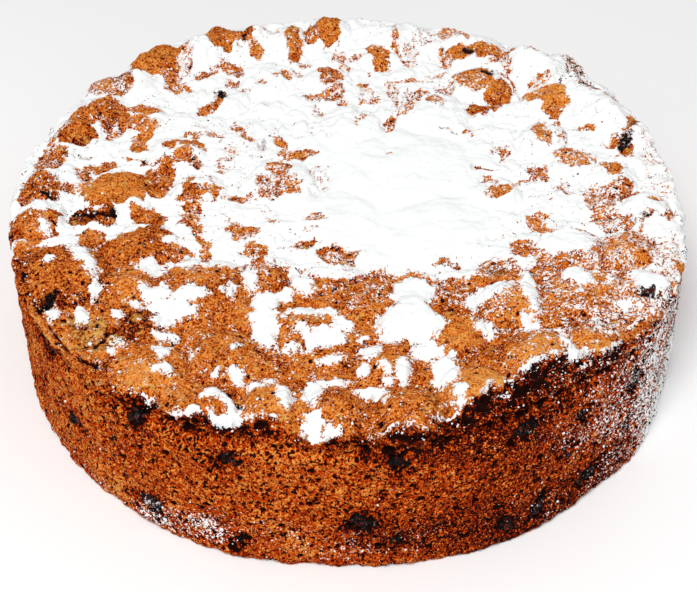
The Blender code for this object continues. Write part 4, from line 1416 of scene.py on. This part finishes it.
class DATECAKE_OT_base(bpy.types.Operator):
    """Close the cake with its flat, browned base"""

    bl_idname = "date_cake.base"
    bl_label = "Base"

    def execute(self, context):
        cake = skin(context)
        share, turn = disc_grid(BASE_STEPS)
        foot = cake.points[cake.wall_rows()[-1]]
        column = (np.degrees(turn) % 360 / 360 * COLUMNS).round().astype(int) % COLUMNS
        edge = np.hypot(foot[:, 0], foot[:, 1])[column]
        points = np.stack([share * edge * np.cos(turn), share * edge * np.sin(turn), np.zeros(len(turn))], 1)
        pit = pores(points, *BASE_PORES)
        height = np.clip(0.25 + layered(points, BASE_WRINKLES) + 0.8 * pit, 0, None)
        points[:, 2] = height * eased((1 - share) * 20)
        faces = grid_faces(disc_numbers(BASE_STEPS))[:, ::-1]
        fields = dict.fromkeys(SKIN_FIELDS, np.zeros(len(points)))
        fields["sugar"] = fields["sugar"] - 4
        fields["side"] = fields["side"] + 1
        fields["tone"] = 0.25 * soft_noise(points, 18, 93) + 0.1
        # The base's pores are painted dark as shade.
        fields["pit"] = 0.8 * pit
        baked = finish("baked crust and crumb", baked_finish, context)
        ways = point_normals(points, faces)
        made = add_patch("base", points, faces, above_base, points[:, :2], ways, baked, **fields)
        belongs(made, "crust", "cake")
        return {"FINISHED"}


def grown_solid(node, name):
    """An object of this name with the solid's mesh, rounded and divided."""
    mesh = node.data.copy()
    made = bpy.data.objects.new(name, mesh)
    bpy.context.scene.collection.objects.link(made)
    weld = made.modifiers.new("weld", "WELD")
    weld.merge_threshold = 0.02 * MM
    rounding = made.modifiers.new("rounding", "SUBSURF")
    rounding.levels = rounding.render_levels = 3
    evaluated = made.evaluated_get(bpy.context.evaluated_depsgraph_get())
    grown = bpy.data.meshes.new_from_object(evaluated)
    made.modifiers.clear()
    made.data = grown
    bpy.data.meshes.remove(mesh)
    return made


def mesh_values(mesh, name):
    """A vector for each point of the mesh."""
    values = np.empty(len(mesh.vertices) * 3)
    mesh.vertices.foreach_get(name, values)
    return values.reshape(-1, 3)


def date_flesh(node, wrinkles, flesh):
    """A wrinkled piece of date, grown from its solid."""
    made = grown_solid(node, node.name + "_flesh")
    mesh = made.data
    points = mesh_values(mesh, "co") / MM
    middle = points.mean(0)
    points = middle + (points - middle) * DATE_SWELL
    folds = 1 - np.abs(soft_noise(points, 3, 100)) * 1.3
    rise = wrinkles * (0.8 * folds - 0.6 + layered(points, DATE_WRINKLES))
    points = points + mesh_values(mesh, "normal") * rise[:, None]
    mesh.vertices.foreach_set("co", (points * MM).ravel())
    mesh.materials.clear()
    mesh.materials.append(flesh)
    mesh.shade_smooth()
    if node.name.startswith("date_crust"):
        level = crust_sugar(points)[0] - 0.9
    else:
        level = wall_sugar(points, np.degrees(np.arctan2(points[:, 1], points[:, 0])) % 360) - 0.1
    store(mesh, "sugar", level + speckle(points))
    mesh.update()
    return made


class DATECAKE_OT_dates(bpy.types.Operator):
    """Set the dark, wrinkled pieces of date in the crust and the wall"""

    bl_idname = "date_cake.dates"
    bl_label = "Dates"

    def execute(self, context):
        wrinkles = context.scene.date_cake_sizes.date_wrinkles / MM
        flesh = finish("date flesh", date_finish, context)
        for name, node in sorted(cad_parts.items()):
            if name.startswith("date_"):
                belongs(date_flesh(node, wrinkles, flesh), "date", name)
        return {"FINISHED"}


class Scatter(Nodes):
    """Geometry nodes that strew rough little lumps over a mesh."""

    INPUTS = (
        ("Lump count per area", "NodeSocketFloat"),
        ("Smallest radius", "NodeSocketFloat"),
        ("Largest radius", "NodeSocketFloat"),
        ("Flatness", "NodeSocketFloat"),
        ("Roundness", "NodeSocketInt"),
        ("Seed", "NodeSocketInt"),
        ("Finish", "NodeSocketMaterial"),
    )

    def __init__(self, name):
        super().__init__(bpy.data.node_groups.new(name, "GeometryNodeTree"))
        face = self.tree.interface
        face.new_socket("Bed", in_out="INPUT", socket_type="NodeSocketGeometry")
        self.sockets = {}
        for label, kind in self.INPUTS:
            self.sockets[label] = face.new_socket(label, in_out="INPUT", socket_type=kind).identifier
        face.new_socket("Lumps", in_out="OUTPUT", socket_type="NodeSocketGeometry")
        self.entry = self.tree.nodes.new("NodeGroupInput")
        self.build()

    def given(self, name):
        return Value(self, self.entry.outputs[name])

    def build(self):
        add, given = self.add, self.given
        share = add("GeometryNodeInputNamedAttribute", {"data_type": "FLOAT"}, {"Name": "sprinkle"})
        density = share * given("Lump count per area")
        spots = add(
            "GeometryNodeDistributePointsOnFaces",
            {},
            {"Mesh": given("Bed"), "Density": density, "Seed": given("Seed")},
        )
        chance = self.random(1)
        smallest = given("Smallest radius")
        size = smallest + (given("Largest radius") - smallest) * chance.power(4.0)
        long_way = size * (0.75 + 0.5 * self.random(2))
        scale = add("ShaderNodeCombineXYZ", {}, {0: long_way, 1: size, 2: size * given("Flatness")})
        rotation = Value(self, spots.socket.node.outputs["Rotation"])
        lump = add("GeometryNodeMeshIcoSphere", {}, {"Radius": 1.0, "Subdivisions": given("Roundness")})
        lumps = add(
            "GeometryNodeInstanceOnPoints",
            {},
            {"Points": spots, "Instance": lump, "Rotation": rotation, "Scale": scale},
        )
        spin = add("ShaderNodeCombineXYZ", {}, {2: self.random(3) * FULL_TURN})
        turned = add("GeometryNodeRotateInstances", {}, {"Instances": lumps, "Rotation": spin})
        real = add("GeometryNodeRealizeInstances", {}, {"Geometry": turned})
        place = add("GeometryNodeInputPosition")
        sockets = {"Vector": place, "Scale": 1 / LUMP_UNEVENNESS, "Detail": 1.0}
        uneven = add("ShaderNodeTexNoise", {}, sockets, out="Color")
        uneven = add("ShaderNodeVectorMath", {"operation": "SUBTRACT"}, {0: uneven, 1: (0.5, 0.5, 0.5)})
        unevenness = given("Largest radius") * 1.6
        uneven = add("ShaderNodeVectorMath", {"operation": "SCALE"}, {0: uneven, "Scale": unevenness})
        rough = add("GeometryNodeSetPosition", {}, {"Geometry": real, "Offset": uneven})
        smooth = add("GeometryNodeSetShadeSmooth", {}, {0: rough})
        done = add("GeometryNodeSetMaterial", {}, {"Geometry": smooth, "Material": given("Finish")})
        self.add("NodeGroupOutput", {}, {0: done}, out=None)

    def random(self, shift):
        sockets = {"Seed": self.given("Seed").maths("ADD", float(shift))}
        return self.add("FunctionNodeRandomValue", {"data_type": "FLOAT"}, sockets, out=1)


def strew(name, scatter, bed, inputs, finish_used):
    """Runs the scatter on a bed mesh and returns the lumps as a plain object."""
    made = bpy.data.objects.new(name, bed)
    bpy.context.scene.collection.objects.link(made)
    modifier = made.modifiers.new(name, "NODES")
    modifier.node_group = scatter.tree
    for label, value in inputs.items():
        modifier[scatter.sockets[label]] = value
    modifier[scatter.sockets["Finish"]] = finish_used
    depsgraph = bpy.context.evaluated_depsgraph_get()
    lumps = bpy.data.meshes.new_from_object(made.evaluated_get(depsgraph))
    made.modifiers.clear()
    made.data = lumps
    return made


def sprinkle_bed(cake, weight):
    """The whole skin as one mesh, with the share of loose sugar on each point."""
    mesh = bpy.data.meshes.new("sugar bed")
    mesh.from_pydata(cake.points * MM, [], cake.all_faces().tolist())
    store(mesh, "sprinkle", np.clip(weight, 0, 1))
    return mesh


class DATECAKE_OT_loose_sugar(bpy.types.Operator):
    """Strew loose grains and lumps of icing sugar over the crust and the wall"""

    bl_idname = "date_cake.loose_sugar"
    bl_label = "Loose sugar"

    def execute(self, context):
        cake, sizes = skin(context), context.scene.date_cake_sizes
        white = finish("icing sugar", sugar_finish, context)
        scatter = Scatter("strewn sugar")
        near = eased((cake.sugar + 2.1) / 2)
        on_crust = cake.crust_share * (0.05 + 0.9 * near * (1 - 0.8 * eased(cake.sugar / 2)))
        on_wall = cake.side * eased((cake.level + 2.4) / 2.6) * 0.8 + 0.3 * cake.ledge
        bed = sprinkle_bed(cake, on_crust + on_wall)
        grains = strew("sugar_grains", scatter, bed, {
            "Lump count per area": GRAINS_PER_AREA, "Smallest radius": sizes.smallest_grain,
            "Largest radius": sizes.largest_grain, "Flatness": 0.8, "Roundness": 1, "Seed": 4,
        }, white)
        belongs(grains, "sugar")
        patchy = cake.crust_share * eased((cake.level + 2.4) / 2) * (1 - eased(cake.level / 2))
        bed = sprinkle_bed(cake, patchy * eased(0.3 + 0.6 * soft_noise(cake.smooth, 12, 110)))
        lumps = strew("sugar_lumps", scatter, bed, {
            "Lump count per area": LUMPS_PER_AREA, "Smallest radius": SMALLEST_LUMP,
            "Largest radius": LARGEST_LUMP, "Flatness": 0.6, "Roundness": 2, "Seed": 9,
        }, white)
        belongs(lumps, "sugar")
        return {"FINISHED"}


# ---------------------------------------------------------------- stage

CAMERA_DISTANCE = 0.605  # from the middle of the base
CAMERA_ELEVATION = 42.488
CAMERA_AIM_RIGHT = -0.00022
CAMERA_AIM_UP = 0.010068
CAMERA_ROLL = -0.335
CAMERA_LENS = 85.2
FLOOR_REACH = 2
SKY_STRENGTH = 0.46
KEY_LIGHT_PLACE = (-0.20, -0.80, 1.35)
KEY_LIGHT_SIZE = 0.6
KEY_LIGHT_POWER = 19


def add_camera():
    turn = math.radians(CAMERA_ELEVATION)
    place = Vector((0, -math.cos(turn), math.sin(turn))) * CAMERA_DISTANCE
    right = Vector((1, 0, 0))
    aim = right * CAMERA_AIM_RIGHT + right.cross(-place.normalized()) * CAMERA_AIM_UP
    data = bpy.data.cameras.new("camera")
    data.lens = CAMERA_LENS
    camera = bpy.data.objects.new("camera", data)
    bpy.context.scene.collection.objects.link(camera)
    camera.location = place
    camera.rotation_mode = "QUATERNION"
    roll = Quaternion((0, 0, 1), math.radians(CAMERA_ROLL))
    camera.rotation_quaternion = (aim - place).to_track_quat("-Z", "Y") @ roll
    bpy.context.scene.camera = camera


def add_light(name, place, size, power):
    data = bpy.data.lights.new(name, "AREA")
    data.size = size
    data.energy = power
    light = bpy.data.objects.new(name, data)
    bpy.context.scene.collection.objects.link(light)
    light.location = place
    light.rotation_mode = "QUATERNION"
    light.rotation_quaternion = (-Vector(place)).to_track_quat("-Z", "Y")


class DATECAKE_OT_stage(bpy.types.Operator):
    """Set up the pale floor, the soft studio light and the camera"""

    bl_idname = "date_cake.stage"
    bl_label = "Stage"

    def execute(self, context):
        corners = [(x * FLOOR_REACH, y * FLOOR_REACH, 0) for x, y in ((-1, -1), (1, -1), (1, 1), (-1, 1))]
        floor = add_mesh("floor", corners, [(0, 1, 2, 3)], floor_finish())
        world = bpy.data.worlds.new("studio")
        world.use_nodes = True
        sky = world.node_tree.nodes["Background"].inputs
        sky["Color"].default_value = (1, 1, 1, 1)
        sky["Strength"].default_value = SKY_STRENGTH
        context.scene.world = world
        add_light("key light", KEY_LIGHT_PLACE, KEY_LIGHT_SIZE, KEY_LIGHT_POWER)
        context.scene.view_settings.view_transform = "Standard"
        add_camera()
        return {"FINISHED"}


class DATECAKE_PT_panel(bpy.types.Panel):
    """The cake's settings and the steps that make it"""

    bl_label = "Date cake"
    bl_space_type = "VIEW_3D"
    bl_region_type = "UI"
    bl_category = "Date cake"

    def draw(self, context):
        for group in (context.scene.date_cake_sizes, context.scene.date_cake_colours):
            box = self.layout.box()
            for name in group.__annotations__:
                box.prop(group, name)
        for step in STEPS:
            self.layout.operator(step.bl_idname)


STEPS = (
    DATECAKE_OT_stage,
    DATECAKE_OT_crust,
    DATECAKE_OT_wall,
    DATECAKE_OT_base,
    DATECAKE_OT_dates,
    DATECAKE_OT_loose_sugar,
)
CLASSES = (DateCakeSizes, DateCakeColours, *STEPS, DATECAKE_PT_panel)


def register():
    for made in CLASSES:
        bpy.utils.register_class(made)
    bpy.types.Scene.date_cake_sizes = bpy.props.PointerProperty(type=DateCakeSizes)
    bpy.types.Scene.date_cake_colours = bpy.props.PointerProperty(type=DateCakeColours)


def unregister():
    del bpy.types.Scene.date_cake_colours
    del bpy.types.Scene.date_cake_sizes
    for made in reversed(CLASSES):
        bpy.utils.unregister_class(made)


def main():
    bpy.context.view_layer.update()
    register()
    for step in STEPS:
        group, action = step.bl_idname.split(".")
        operator.attrgetter(f"{group}.{action}")(bpy.ops)()


if __name__ == "__main__":
    main()
